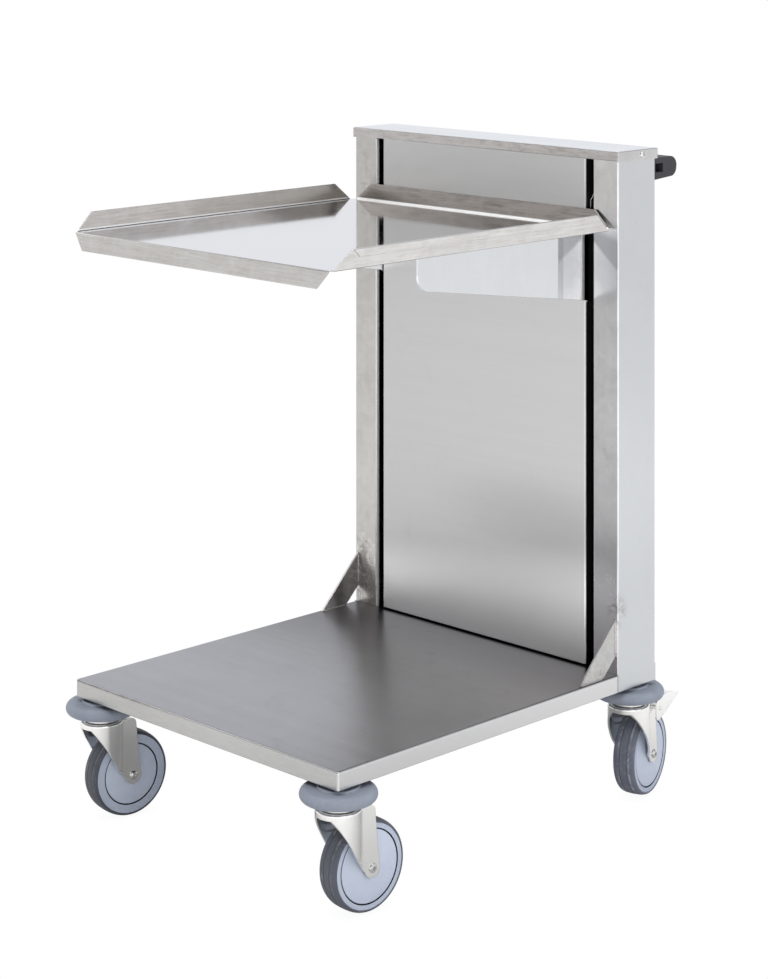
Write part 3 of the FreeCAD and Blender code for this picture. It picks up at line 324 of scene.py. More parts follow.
def post_extra(g, colour, r):
    """Heat stains and blotches round the gusset welds, side walls darker towards the foot, and painted light: tones by
    facing, painted shade and highlights on the right post's front flange, the tray's painted shadow, a near-black
    inside and paler lips.
    """
    x, y, z = g.xyz(g.p)
    nx, ny, nz = g.xyz(g.nrm)
    # the outer side walls are even and a little blue, partly their finish and partly painted light by facing; the front
    # flanges are painted duller, as painted shade
    side = g.span(g.math("ABSOLUTE", nx), 0.75, 0.9)
    front = g.span(g.math("ABSOLUTE", ny), 0.75, 0.9)
    even = g.mix(g.noise(g.p, 5.0, 3.0, 0.5), (0.60, 0.625, 0.65), (0.655, 0.675, 0.695))
    colour = g.mix(g.math("MULTIPLY", side, 0.8), colour, even)
    foot = g.math("MULTIPLY", side, g.span(z, 0.52, 0.30, 0.0, 1.0, smooth=True))
    colour = g.mix(g.math("MULTIPLY", foot, 0.5), colour, (0.46, 0.475, 0.49))
    # painted light on the front flanges: the left one warmer, the right one bluer, and the right one painted brighter
    # above the tray's level as a painted reflection
    tone = g.mix(g.span(x, -0.2, 0.2), (0.80, 0.795, 0.77), (0.74, 0.745, 0.76))
    tone = g.mix(g.math("MULTIPLY", g.span(x, -0.1, 0.1), g.span(z, 0.86, 0.885, smooth=True)), tone, (1.06, 1.06, 1.06))
    colour = g.mix(front, colour, g.mix(1.0, colour, tone, "MULTIPLY"))
    # painted shade: the right post's front flange is painted darker low down, standing in for the deck's dark
    # reflection
    low = g.math("MULTIPLY", g.span(x, 0.0, 0.1), g.span(z, 0.62, 0.46, 0.0, 1.0, smooth=True))
    colour = g.mix(g.math("MULTIPLY", g.math("MULTIPLY", low, front), 0.28), colour, (0.30, 0.29, 0.30))
    # painted highlight: lower still, the right post's front flange is painted pale
    lit = g.math("MULTIPLY", g.span(x, 0.0, 0.1), g.span(z, 0.40, 0.31, 0.0, 1.0, smooth=True))
    colour = g.mix(g.math("MULTIPLY", g.math("MULTIPLY", lit, front), 0.9), colour, (0.93, 0.92, 0.94))
    # painted shade: a dark wedge and a soft blob on the right post's front flange below the tray's corner, standing in
    # for the tray's shadow and reflection
    soft = g.blob(g.p, (0.262, FACE_Y, 0.815), (0.050, 0.03, 0.085), 0.25)
    colour = g.mix(g.math("MULTIPLY", g.math("MULTIPLY", soft, front), 0.60), colour, (0.26, 0.265, 0.275))
    run = g.math("SUBTRACT", x, 0.2291)
    low_edge = g.math("MULTIPLY_ADD", run, -0.883, 0.8515)
    top_edge = g.math("MULTIPLY_ADD", run, -0.25, 0.870)
    shade = g.math("MULTIPLY", g.span(g.math("SUBTRACT", z, low_edge), -0.005, 0.004, smooth=True),
                   g.span(g.math("SUBTRACT", z, top_edge), -0.010, 0.004, 1.0, 0.0, smooth=True))
    shade = g.math("MULTIPLY", shade, g.span(x, 0.2, 0.21))
    shade = g.math("MULTIPLY", shade, g.span(run, 0.0, 0.050, 1.0, 0.72))
    colour = g.mix(g.math("MULTIPLY", g.math("MULTIPLY", shade, front), 0.85), colour, (0.18, 0.185, 0.195))
    left = g.blob(g.p, (-0.262, FACE_Y, 0.262), (0.045, 0.04, 0.085), 0.1)
    right = g.blob(g.p, (0.273, FACE_Y, 0.300), (0.02, 0.03, 0.035), 0.05)
    stain = g.noise(g.p, 60.0, 5.0, 0.7, 1.5)
    s = g.math("MULTIPLY", g.math("MAXIMUM", left, right), g.span(stain, 0.42, 0.62, 0.0, 1.0, smooth=True))
    colour = g.mix(g.math("MULTIPLY", s, 0.75), colour, (0.16, 0.14, 0.13))
    pale = g.math("MULTIPLY", left, g.span(g.noise(g.p, 85.0, 4.0, 0.6, 0.8), 0.56, 0.66, 0.0, 1.0, smooth=True))
    colour = g.mix(g.math("MULTIPLY", pale, 0.6), colour, (0.86, 0.84, 0.80))
    r = g.math("MULTIPLY_ADD", s, 0.12, r)
    # painted shade: the hollow inside of the post is painted near-black
    ax = g.math("ABSOLUTE", x)
    inside_shade = g.math("MULTIPLY", g.span(ax, 0.2774, 0.2778, 1.0, 0.0), g.span(y, FACE_Y + 0.0060, FACE_Y + 0.0075))
    inside_shade = g.math("MULTIPLY", inside_shade, g.span(y, POST_HI.y - 0.0016, POST_HI.y - 0.0010, 1.0, 0.0))
    colour = g.mix(inside_shade, colour, (0.03, 0.03, 0.03))
    # stains near the head of the left post, and a soft step of painted shade low on the right one
    top = g.blob(g.p, (-0.262, FACE_Y, 0.90), (0.06, 0.03, 0.10), 0.1)
    ax = g.math("ABSOLUTE", x)
    # painted highlight: the inner lips of the front flanges are painted paler and rougher, so they show as bright lines
    lip_highlight = g.math("MULTIPLY", g.span(ax, 0.2318, 0.2322, 1.0, 0.0), g.span(y, FACE_Y + 0.0060, FACE_Y + 0.0066, 1.0, 0.0))
    colour = g.mix(lip_highlight, colour, (0.80, 0.80, 0.80))
    r = g.mixf(lip_highlight, r, 0.75)
    tint = g.math("MULTIPLY", top, g.span(g.noise(g.p, 48.0, 5.0, 0.7, 1.2), 0.5, 0.68, 0.0, 1.0, smooth=True))
    colour = g.mix(g.math("MULTIPLY", tint, 0.45), colour, (0.34, 0.30, 0.26))
    return colour, r


def cap_extra(g, colour, r):
    """The cap's top is painted brighter than its folded skirts, as a painted highlight; the front skirts show rolling
    stains and are painted darker, partly as painted shade.
    """
    nx, ny, nz = g.xyz(g.nrm)
    top = g.span(nz, 0.75, 0.9)
    front = g.span(g.math("ABSOLUTE", ny), 0.75, 0.9)
    st = g.noise(g.vmath("MULTIPLY", g.p, (26.0, 26.0, 160.0)), 1.0, 5.0, 0.7, 1.0)
    worn = g.mix(g.span(st, 0.4, 0.7, smooth=True), (0.50, 0.485, 0.475), (0.36, 0.33, 0.31))
    # painted shade and stains: the front skirts take a darker, browner streaked tone; painted highlight: the top takes
    # a brighter, bluer white
    colour = g.mix(g.math("MULTIPLY", front, 0.8), colour, worn)
    colour = g.mix(top, colour, g.mix(st, (0.75, 0.775, 0.80), (0.84, 0.86, 0.88)))
    return colour, r


def gusset_extra(g, colour, r):
    """The gussets: weld heat and stains, stronger at the ends; the left gusset is painted paler, as painted light."""
    x, y, z = g.xyz(g.p)
    ends = g.math("MAXIMUM", g.span(z, 0.235, 0.21), g.span(z, 0.262, 0.287))
    st = g.noise(g.p, 75.0, 5.0, 0.7, 1.4)
    dark = g.math("MULTIPLY", ends, g.span(st, 0.45, 0.62, smooth=True))
    colour = g.mix(g.math("MULTIPLY", dark, 0.6), colour, (0.22, 0.19, 0.17))
    pale = g.span(g.noise(g.p, 55.0, 4.0, 0.6, 0.7), 0.58, 0.7, smooth=True)
    colour = g.mix(g.math("MULTIPLY", pale, 0.4), colour, (0.74, 0.72, 0.69))
    # painted light: the left gusset is painted paler
    colour = g.mix(g.math("MULTIPLY", g.span(x, -0.1, -0.12), 0.5), colour, (0.95, 0.92, 0.90))
    return colour, r


def panel_extra(g, colour, r):
    """Front and rear covers: their hidden backs and side returns are painted near-black as painted shade; low on the
    front a painted highlight, with a painted darker band above it.
    """
    x, y, z = g.xyz(g.p)
    # painted shade: the hidden backs and side returns are painted near-black
    inside_shade = g.math("MULTIPLY", g.span(y, FACE_Y + 0.0022, FACE_Y + 0.0032), g.span(y, POST_HI.y + 0.0002, POST_HI.y + 0.0004, 1.0, 0.0))
    # painted light standing in for reflections: the cover is painted brighter low down, with one painted darker band
    # above it
    q = g.math("SUBTRACT", g.math("SUBTRACT", z, 0.207), g.math("MULTIPLY", g.math("ADD", x, 0.28), 0.15))
    low = g.math("MULTIPLY", g.span(q, 0.115, 0.02, 0.0, 1.0, smooth=True), g.span(y, FACE_Y + 0.04, FACE_Y + 0.05, 1.0, 0.0))
    band = g.blob(g.p, (0.13, FACE_Y, 0.415), (0.27, 0.10, 0.085), 0.1)
    colour = g.mix(g.math("MULTIPLY", band, 0.5), colour, (0.40, 0.40, 0.40))
    colour = g.mix(low, colour, (0.97, 0.97, 0.97))
    colour = g.mix(inside_shade, colour, (0.02, 0.02, 0.02))
    return colour, r


def deck_extra(g, colour, r):
    """The rim is paler and smoother than the brushed top, its front painted darker as painted shade; a darker worn line
    runs along the folded edge; the top is painted darker by the column and paler at the free end, as painted
    reflections.
    """
    mx, my, mz = axis_masks(g)
    x, y, z = g.xyz(g.p)
    rolled = g.noise(g.vmath("MULTIPLY", g.p, (60.0, 60.0, 420.0)), 1.0, 4.0, 0.7, 0.8)
    # painted shade: the front rim takes a darker copy of the side rim's colour
    side_c = g.mix(rolled, (0.58, 0.58, 0.585), (0.66, 0.66, 0.665))
    front_c = g.mix(rolled, (0.42, 0.42, 0.415), (0.58, 0.575, 0.57))
    rim = g.mix(my, side_c, front_c)
    # the top is warmer and darker along the right edge by the column; painted reflection makes it paler and bluer at
    # the free end
    warm = g.math("MULTIPLY", g.span(x, 0.06, 0.26, smooth=True), g.span(y, FACE_Y - 0.42, FACE_Y - 0.08, smooth=True))
    top = g.mix(g.math("MULTIPLY", warm, 0.45), colour, (0.32, 0.285, 0.27))
    # painted reflection: the top is painted much darker next to the column, standing in for the column's dark
    # reflection
    near = g.span(y, FACE_Y - 0.30, FACE_Y - 0.02, 0.0, 1.0, smooth=True)
    top = g.mix(g.math("MULTIPLY", near, 0.82), top, (0.12, 0.115, 0.128))
    far = g.math("MULTIPLY", g.span(y, FACE_Y - 0.22, FACE_Y - 0.42, 0.0, 1.0, smooth=True), g.span(x, 0.27, 0.10, 0.0, 1.0, smooth=True))
    top = g.mix(g.math("MULTIPLY", far, 0.36), top, g.mix(g.noise(g.p, 7.0, 4.0, 0.6, 1.0), (0.50, 0.50, 0.535), (0.70, 0.70, 0.745)))
    # handling marks darken the front rim's upper edge on the left
    line = g.math("MULTIPLY", g.span(z, DECK_HI.z - 0.0045, DECK_HI.z - 0.0025), g.span(x, -0.14, -0.05, 1.0, 0.0))
    line = g.math("MULTIPLY", line, g.span(rolled, 0.35, 0.55, smooth=True))
    rim = g.mix(g.math("MULTIPLY", line, 0.6), rim, (0.16, 0.15, 0.15))
    # painted shade: the front rim is painted darker still on the left
    rim = g.mix(g.math("MULTIPLY", my, g.span(x, 0.05, -0.15)), rim, g.mix(1.0, rim, (0.86, 0.855, 0.85), "MULTIPLY"))
    colour = g.mix(mz, rim, top)
    r = g.mixf(mz, 0.26, r)
    return colour, r


def tray_extra(g, colour, r):
    """The floor keeps a mirror finish under film; the flanges were rolled and show a warmer, cloudier grain; the rear
    flange and the folds carry painted shade and painted highlights.
    """
    mx, my, mz = axis_masks(g, 0.9)
    x, y, z = g.xyz(g.p)
    flat = g.math("MULTIPLY", mz, g.span(z, 0.8695, 0.8699))
    # rolled stock: warm streaks along each flange
    long_x = g.noise(g.vmath("MULTIPLY", g.p, (16.0, 330.0, 330.0)), 1.0, 5.0, 0.72, 0.7)
    long_y = g.noise(g.vmath("MULTIPLY", g.p, (330.0, 16.0, 330.0)), 1.0, 5.0, 0.72, 0.7)
    streak = g.mixf(mx, long_x, long_y)
    patch = g.noise(g.p, 26.0, 4.0, 0.65, 1.2)
    warm = g.math("MULTIPLY", g.span(streak, 0.38, 0.66, 0.0, 1.0, smooth=True), g.span(patch, 0.35, 0.65, 0.25, 1.0))
    colour = g.mix(g.math("MULTIPLY", warm, 0.55), colour, (0.40, 0.37, 0.345))
    # the rear flange faces a darker part of the room than the others
    nx, ny, nz = g.xyz(g.nrm)
    rear = g.math("MULTIPLY", g.span(ny, -0.5, -0.8), g.span(y, TRAY_HI.y - 0.012, TRAY_HI.y - 0.010))
    colour = g.mix(g.math("MULTIPLY", rear, 0.85), colour, g.mix(warm, (0.30, 0.275, 0.26), (0.15, 0.13, 0.115)))
    left = g.span(x, TRAY_LO.x + 0.0078, TRAY_LO.x + 0.0070)
    left = g.math("MULTIPLY", left, g.span(nx, 0.3, 0.6))
    colour = g.mix(left, colour, g.mix(1.0, colour, (0.90, 0.87, 0.845), "MULTIPLY"))
    colour = g.mix(flat, colour, (0.755, 0.76, 0.78))
    # painted light at the folds: a painted dark line along the left fold with a painted highlight above it, and a
    # painted highlight on the rear bend
    fold_x = TRAY_LO.x + 0.0072
    low = g.span(z, 0.8700, 0.8701)
    fold_dark_line = g.math("MULTIPLY", g.span(x, fold_x - 0.0003, fold_x + 0.0001), g.span(x, fold_x + 0.0018, fold_x + 0.0023, 1.0, 0.0))
    colour = g.mix(g.math("MULTIPLY", fold_dark_line, g.span(z, 0.8690, 0.8694)), colour, (0.03, 0.03, 0.03))
    shine = g.math("MULTIPLY", g.math("MULTIPLY", g.span(x, fold_x - 0.0003, fold_x + 0.0001, 1.0, 0.0), low), g.span(z, 0.8722, 0.8730, 1.0, 0.0))
    bend_y = TRAY_HI.y - 0.0072
    shine_r = g.math("MULTIPLY", g.math("MULTIPLY", g.span(y, bend_y - 0.0010, bend_y - 0.0004), low), g.span(z, 0.8722, 0.8730, 1.0, 0.0))
    lit = g.math("MAXIMUM", shine, shine_r)
    colour = g.mix(lit, colour, (0.98, 0.98, 0.98))
    r = g.mixf(flat, g.math("ADD", r, 0.13), r)
    r = g.mixf(lit, r, 0.45)
    return colour, r


# painted shade: steel inside the column is given a near-black colour
def dark_inside(name, colour=(0.12, 0.12, 0.12), rough=0.45):
    m, g = material(name)
    c = g.noise(g.p, 30.0, 4.0, 0.6, 0.5)
    f = g.noise(g.vmath("MULTIPLY", g.p, (500.0, 500.0, 8.0)), 1.0, 3.0, 0.6)
    t = g.math("ADD", g.math("MULTIPLY", c, 0.6), g.math("MULTIPLY", f, 0.4))
    g.put(g.bsdf.inputs["Base Color"], g.mix(t, scaled(colour, 0.6), scaled(colour, 1.5)))
    g.bsdf.inputs["Metallic"].default_value = 0.7
    g.put(g.bsdf.inputs["Roughness"], g.span(c, 0.3, 0.7, rough - 0.1, rough + 0.12))
    g.put(g.bsdf.inputs["Normal"], g.bump(c, 0.00006))
    return m


M = {}
M["sheet_2b"] = steel("stainless_2b", STEEL_D, STEEL_L, 0.25, "z", 0.25, grain=0.35, cloud=0.6, mottle=0.65, edge=0.0013, extra=post_extra)
CAP_FINISH = steel("stainless_2b_cap", STEEL_D, STEEL_L, 0.2, "x", 0.2, grain=0.35, cloud=0.6, mottle=0.6, edge=0.0016, extra=cap_extra)
# painted shade: the gussets use a darker copy of the post steel
GUSSET_SHADED_FINISH = steel("stainless_2b_gusset_shaded", scaled(STEEL_D, 0.74), scaled(STEEL_L, 0.76), 0.24, "z", 0.1, grain=0.3, cloud=0.9, mottle=0.8,
                      edge=0.0010, extra=gusset_extra)
M["panel_brushed"] = steel("stainless_brushed_panel", (0.50, 0.50, 0.50), (0.60, 0.60, 0.60), 0.46, "x", 0.8,
                           fine_scale=0.6, grain=0.6, cloud=0.14, mottle=0.05, specks=0.08, wave=0.00003, grain_bump=0.000002, edge=0.0014,
                           across="z", extra=panel_extra)
M["deck_satin"] = steel("stainless_satin_deck", (0.34, 0.34, 0.352), (0.46, 0.46, 0.478), 0.3,
                        {"x": "y", "y": "x", "z": "x"}, 0.6, grain=1.0, cloud=0.6, mottle=0.3, fine_scale=0.4, extra=deck_extra)
M["tray_bright"] = steel("stainless_bright_tray", (0.56, 0.545, 0.53), (0.73, 0.725, 0.715), 0.07,
                         {"x": "y", "y": "x", "z": "x"}, 0.0, grain=0.6, cloud=0.7, mottle=0.5, rough_var=0.03,
                         wave=0.00008, extra=tray_extra)
def arm_extra(g, colour, r):
    """Painted highlight: the arm is painted brighter where it runs into its opening in the column, beyond the end of
    its fold.
    """
    x, y, z = g.xyz(g.p)
    slot_highlight = g.math("MULTIPLY", g.span(y, FACE_Y - 0.0555, FACE_Y - 0.0545), g.span(y, FACE_Y + 0.002, FACE_Y + 0.003, 1.0, 0.0))
    return g.mix(g.math("MULTIPLY", slot_highlight, 0.85), colour, (0.97, 0.975, 0.98)), r


ARM_FINISH = steel("stainless_bright_arm", (0.68, 0.695, 0.705), (0.79, 0.81, 0.825), 0.045, "y", 0.0, grain=0.25, cloud=0.45,
                   mottle=0.25, rough_var=0.02, wave=0.00005, specks=0.1, extra=arm_extra)
M["inner_steel"] = dark_inside("inner_steel_dark", (0.05, 0.05, 0.05))
M["pressed_steel"] = steel("zinc_plated_pressing", (0.80, 0.795, 0.775), (0.95, 0.945, 0.93), 0.2, "z", 0.0,
                           grain=0.12, cloud=0.4, mottle=0.4, wave=0.0001, edge=0.0014)
M["hardware"] = steel("zinc_hardware", (0.50, 0.50, 0.49), (0.74, 0.74, 0.73), 0.22, "z", 0.0, grain=0.1, cloud=0.4, mottle=0.6, edge=0.0004)
M["spring_steel"] = steel("spring_wire", (0.30, 0.30, 0.30), (0.52, 0.52, 0.52), 0.25, "z", 0.0, grain=0.1, cloud=0.3, mottle=0.6, edge=0.0)
M["bumper_grey"] = plastic("bumper_polymer", srgb(136, 143, 157), srgb(118, 125, 139), srgb(152, 159, 172), 0.6,
                           scuff=0.42, scuff_colour=srgb(176, 182, 194), grain=0.00003)
# each wheel's axle, for shading that follows its rings
WHEEL = {j["name"][:-len("_wheel_spin")]: (tuple(j["pos_m"]), tuple(j["axis"]))
         for j in frame["record"]["behaviour"]["joints"] if j["name"].endswith("_wheel_spin")}


def wheel_polar(g, wheel):
    """Distance along the axle from the wheel's middle plane, and distance from the axle."""
    pos, axis = WHEEL[wheel]
    d = g.vmath("SUBTRACT", g.p, pos)
    along = g.vmath("DOT_PRODUCT", d, axis)
    length = g.vmath("LENGTH", d)
    sq = g.math("SUBTRACT", g.math("MULTIPLY", length, length), g.math("MULTIPLY", along, along))
    return g.math("ABSOLUTE", along), g.math("SQRT", sq)


def tyre_finish(wheel, k):
    """Rubber with two darker rings beside the crown, rubbed pale bands and patches of dust; k darkens or lightens the
    whole tyre as painted light.
    """
    def extra(g, colour, r):
        a, rad = wheel_polar(g, wheel)
        dust = g.noise(g.p, 40.0, 5.0, 0.7, 1.0)
        tread = g.span(rad, 0.0600, 0.0612)
        worn = g.math("MULTIPLY", g.span(dust, 0.44, 0.66, smooth=True), tread)
        band = g.math("MULTIPLY", g.span(a, 0.0072, 0.0080), g.span(a, 0.0098, 0.0108, 1.0, 0.0))
        band = g.math("MULTIPLY", band, worn)
        colour = g.mix(g.math("MULTIPLY", g.span(dust, 0.48, 0.70, smooth=True), 0.3), colour, srgb(124, 127, 136))
        colour = g.mix(g.math("MULTIPLY", band, 0.75), colour, srgb(150, 153, 162))
        ring = g.math("MULTIPLY", g.span(a, 0.0050, 0.0054), g.span(a, 0.0062, 0.0067, 1.0, 0.0))
        colour = g.mix(g.math("MULTIPLY", g.math("MULTIPLY", ring, tread), 0.6), colour, srgb(48, 50, 58))
        return g.mix(1.0, colour, (k, k, k), "MULTIPLY"), g.math("MULTIPLY_ADD", band, 0.1, r)
    return plastic("tyre_rubber_" + wheel, srgb(86, 90, 102), srgb(72, 76, 88), srgb(102, 106, 118), 0.6, sheen=0.1,
                   scuff=0.45, scuff_colour=srgb(140, 142, 150), extra=extra)


def core_finish(wheel):
    """Rim polymer; the narrow channel round the cover is painted near-black as painted shade."""
    def extra(g, colour, r):
        a, rad = wheel_polar(g, wheel)
        channel_shade = g.math("MULTIPLY", g.span(a, 0.0160, 0.0163, 1.0, 0.0), g.span(rad, 0.020, 0.021))
        channel_shade = g.math("MULTIPLY", channel_shade, g.span(rad, 0.0530, 0.0532, 1.0, 0.0))
        return g.mix(channel_shade, colour, (0.008, 0.009, 0.012)), r
    return plastic("wheel_polymer_" + wheel, srgb(188, 197, 215), srgb(172, 182, 203), srgb(202, 210, 226), 0.42,
                   scuff=0.2, scuff_colour=srgb(222, 227, 236), extra=extra)


def cover_finish(wheel):
    """Cover polymer; its chamfer in the channel round it is painted near-black too, as painted shade."""
    def extra(g, colour, r):
        a, rad = wheel_polar(g, wheel)
        return g.mix(g.math("MULTIPLY", g.span(a, 0.0156, 0.0160, 1.0, 0.0), 0.9), colour, (0.012, 0.013, 0.017)), r
    return plastic("wheel_cover_polymer_" + wheel, srgb(196, 205, 223), srgb(182, 192, 213), srgb(212, 219, 234), 0.38,
                   scuff=0.3, scuff_colour=srgb(232, 236, 244), cloud_scale=16.0, extra=extra)


M["tyre_grey"] = M["wheel_grey"] = None
# painted light: each tyre is darkened or lightened by its place, front-left darker and rear-right lighter
TYRE_PAINTED_LIGHT = {"front_left": 0.66, "front_right": 0.90, "rear_left": 1.0, "rear_right": 1.6}
WHEEL_FINISH = {}
for w_name in WHEEL:
    WHEEL_FINISH[w_name + "_tyre"] = tyre_finish(w_name, TYRE_PAINTED_LIGHT[w_name])
    WHEEL_FINISH[w_name + "_wheel_core"] = core_finish(w_name)
    WHEEL_FINISH[w_name + "_wheel_covers"] = cover_finish(w_name)
M["handle_charcoal"] = plastic("handle_polymer", srgb(50, 50, 54), srgb(40, 40, 43), srgb(60, 60, 64), 0.5, scuff=0.12, specular=0.35)
M["buffer_black"] = plastic("buffer_rubber", srgb(40, 40, 42), srgb(30, 30, 32), srgb(56, 56, 58), 0.6, scuff=0.1)
M["roller_white"] = plastic("roller_polymer", srgb(224, 222, 214), srgb(205, 203, 195), srgb(238, 236, 230), 0.35, scuff=0.1)

SLOT_OF = {p["node"]: p["material_slot"] for p in frame["record"]["subparts"]}
for name, o in NODES.items():
    o.data.materials.clear()
    special = {"left_arm": ARM_FINISH, "right_arm": ARM_FINISH, "top_cap": CAP_FINISH,
               "left_gusset": GUSSET_SHADED_FINISH, "right_gusset": GUSSET_SHADED_FINISH}
    special.update(WHEEL_FINISH)
    o.data.materials.append(special.get(name, M[SLOT_OF[name]]))


# ---------------------------------------------------------------- pieces the frame leaves to the visual model
def mesh_piece(name, verts, faces, mat, smooth=True):
    me = bpy.data.meshes.new(name)
    me.from_pydata([tuple(v) for v in verts], [], faces)
    me.update()
    if smooth:
        me.polygons.foreach_set("use_smooth", [True] * len(me.polygons))
    me.materials.append(mat)
    o = bpy.data.objects.new(name, me)
    bpy.context.scene.collection.objects.link(o)
    return o


def tube_mesh(path, radius, sides=6, verts=None, faces=None):
    """A round bar along a list of points, radius a number or one per point, with closed ends."""
    verts = [] if verts is None else verts
    faces = [] if faces is None else faces
    n = len(path)
    up = None
    rings = []
    for i in range(n):
        d = (path[min(i + 1, n - 1)] - path[max(i - 1, 0)]).normalized()
        if up is None:
            up = d.orthogonal().normalized()
        up = (up - d * up.dot(d)).normalized()
        side = d.cross(up)
        r = radius if isinstance(radius, (int, float)) else radius[i]
        base = len(verts)
        for k in range(sides):
            a = 2 * math.pi * k / sides
            verts.append(path[i] + (up * math.cos(a) + side * math.sin(a)) * r)
        rings.append(base)
    for a, b in zip(rings, rings[1:]):
        for k in range(sides):
            faces.append((a + k, a + (k + 1) % sides, b + (k + 1) % sides, b + k))
    faces.append(tuple(rings[0] + k for k in reversed(range(sides))))
    faces.append(tuple(rings[-1] + k for k in range(sides)))
    return verts, faces


# wound extension springs with a hook at each end
SPRING_LO, SPRING_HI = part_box("lift_springs")
SPRING_Y = 0.5 * (SPRING_LO.y + SPRING_HI.y)
WIRE = 0.00085
COIL_R = 0.0071
HOOK = 0.007
top_hook = SPRING_HI.z - 0.001 - HOOK            # centre of the upper eye
low_hook = SPRING_LO.z + 0.001 + HOOK
coil_top, coil_low = top_hook - HOOK - 0.0012, low_hook + HOOK + 0.0012
for i, sx in enumerate((-0.150, -0.110, -0.070, 0.070, 0.110, 0.150)):
    pts = []
    for k in range(25):                            # upper eye, in the plane across the bar
        a = math.radians(-90 + 330 * (1 - k / 24.0))
        pts.append(Vector((sx, SPRING_Y + HOOK * math.cos(a), top_hook + HOOK * math.sin(a))))
    turns = 92
    steps = turns * 10
    for k in range(steps + 1):
        a = 2 * math.pi * k / 10.0 + math.pi / 2
        e = min(1.0, k / 10.0, (steps - k) / 10.0)
        z = coil_top + (coil_low - coil_top) * k / steps
        pts.append(Vector((sx + COIL_R * e * math.cos(a), SPRING_Y + COIL_R * e * math.sin(a), z)))
    for k in range(25):
        a = math.radians(90 + 330 * k / 24.0)
        pts.append(Vector((sx, SPRING_Y + HOOK * math.cos(a), low_hook + HOOK * math.sin(a))))
    v, f = tube_mesh(pts, WIRE, 5)
    spring = mesh_piece("wound_spring_%d" % (i + 1), v, f, M["spring_steel"])
    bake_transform(spring)
    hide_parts("lift_springs")

WELD = steel("weld_bead", (0.40, 0.385, 0.37), (0.70, 0.69, 0.67), 0.3, "y", 0.0, grain=0.2, cloud=0.8, mottle=1.0, specks=0.6,
             edge=0.0, wave=0.0001)


def weld_bead(name, points, r, seed):
    """A hand-laid bead: overlapping ripples along a path, uneven in height."""
    length = sum((b - a).length for a, b in zip(points, points[1:]))
    n = max(8, int(length / 0.0009))
    path, rad = [], []
    for i in range(n + 1):
        t = i / n * (len(points) - 1)
        k = min(int(t), len(points) - 2)
        q = points[k].lerp(points[k + 1], t - k)
        w_ = mnoise.noise(Vector((i * 0.31, seed * 7.3, 0.0)))
        ripple = 0.14 * math.sin(i * 1.9 + seed)
        ends = min(1.0, (i + 1.5) / 4.0, (n - i + 1.5) / 4.0)
        path.append(q + Vector((0, 0, 0.0001 * w_)))
        rad.append(r * (1.0 + 0.28 * w_ + ripple) * (0.55 + 0.45 * ends))
    v, f = tube_mesh(path, rad, 10)
    o = mesh_piece(name, v, f, WELD)
    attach(o, "frame")
    return o


for side, node in ((1, "right_gusset"), (-1, "left_gusset")):
    lo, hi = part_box(node)
    for j, x in enumerate((lo.x, hi.x)):
        tag = "right" if side > 0 else "left"
        weld_bead("%s_gusset_foot_weld_%d" % (tag, j + 1), [Vector((x, lo.y + 0.003, lo.z + 0.0004)), Vector((x, lo.y + 0.050, lo.z + 0.0004))], 0.0012, j + 3 * side)
        weld_bead("%s_gusset_head_weld_%d" % (tag, j + 1), [Vector((x, hi.y - 0.0004, hi.z - 0.052)), Vector((x, hi.y - 0.0004, hi.z - 0.004))], 0.0012, j + 11 * side)
for side in (1, -1):
    x = side * (DECK_HI.x + 0.0002)
    weld_bead("%s_rim_seam" % ("right" if side > 0 else "left"), [Vector((x, FACE_Y - 0.0002, DECK_LO.z + 0.001)), Vector((x, FACE_Y - 0.0002, DECK_HI.z + 0.001))], 0.0009, 5 * side)

# ---------------------------------------------------------------- studio
world = bpy.data.worlds.new("studio")
bpy.context.scene.world = world
world.use_nodes = True
w = Graph(world.node_tree)
wo = w.node("ShaderNodeOutputWorld")
tc = w.node("ShaderNodeTexCoord")
d = w.vmath("NORMALIZE", tc.outputs["Generated"])
dx, dy, dz = w.xyz(d)
# brightness seen by reflections: a white sweep behind, a dim room in front, a lit ceiling
flat_len = w.math("MAXIMUM", w.math("SQRT", w.math("ADD", w.math("MULTIPLY", dx, dx), w.math("MULTIPLY", dy, dy))), 0.001)
ux, uy = w.math("DIVIDE", dx, flat_len), w.math("DIVIDE", dy, flat_len)
back = w.span(uy, -0.35, 0.35, 0.0, 1.0, smooth=True)          # 1 towards the sweep behind the cart
sweep = w.ramp(dz, [(0.0, (0.90, 0.91, 0.93)), (0.10, (0.88, 0.89, 0.915)), (0.22, (0.88, 0.89, 0.93)),
                    (0.34, (0.84, 0.85, 0.89)), (0.55, (0.50, 0.50, 0.52)), (1.0, (0.55, 0.55, 0.56))])
room = w.ramp(dz, [(0.0, (0.96, 0.955, 0.95)), (0.13, (0.84, 0.835, 0.83)), (0.20, (0.66, 0.655, 0.65)), (0.30, (0.52, 0.515, 0.51)),
                   (0.6, (0.46, 0.46, 0.46)), (1.0, (0.55, 0.55, 0.56))])
sky = w.mix(back, room, sweep)
# a lit wall low on the viewer's side, which gives the folded edges their bright lines
viewer = w.span(w.math("SUBTRACT", w.math("MULTIPLY", ux, 0.7071), w.math("MULTIPLY", uy, 0.7071)), 0.62, 0.93, 0.0, 1.0, smooth=True)
viewer = w.math("MULTIPLY", viewer, w.span(dz, 0.10, 0.22, 1.0, 0.0))
sky = w.mix(viewer, sky, (1.5, 1.5, 1.5))
below = w.span(dz, -0.02, 0.0, 1.0, 0.0)
sky = w.mix(below, sky, (0.95, 0.95, 0.95))
bg_seen = w.node("ShaderNodeBackground")
bg_seen.inputs[0].default_value = (1.0, 1.0, 1.0, 1.0)
bg_seen.inputs[1].default_value = 1.0
bg_light = w.node("ShaderNodeBackground")
w.put(bg_light.inputs[0], sky)
bg_light.inputs[1].default_value = 1.0
lp = w.node("ShaderNodeLightPath")
ms = w.node("ShaderNodeMixShader")
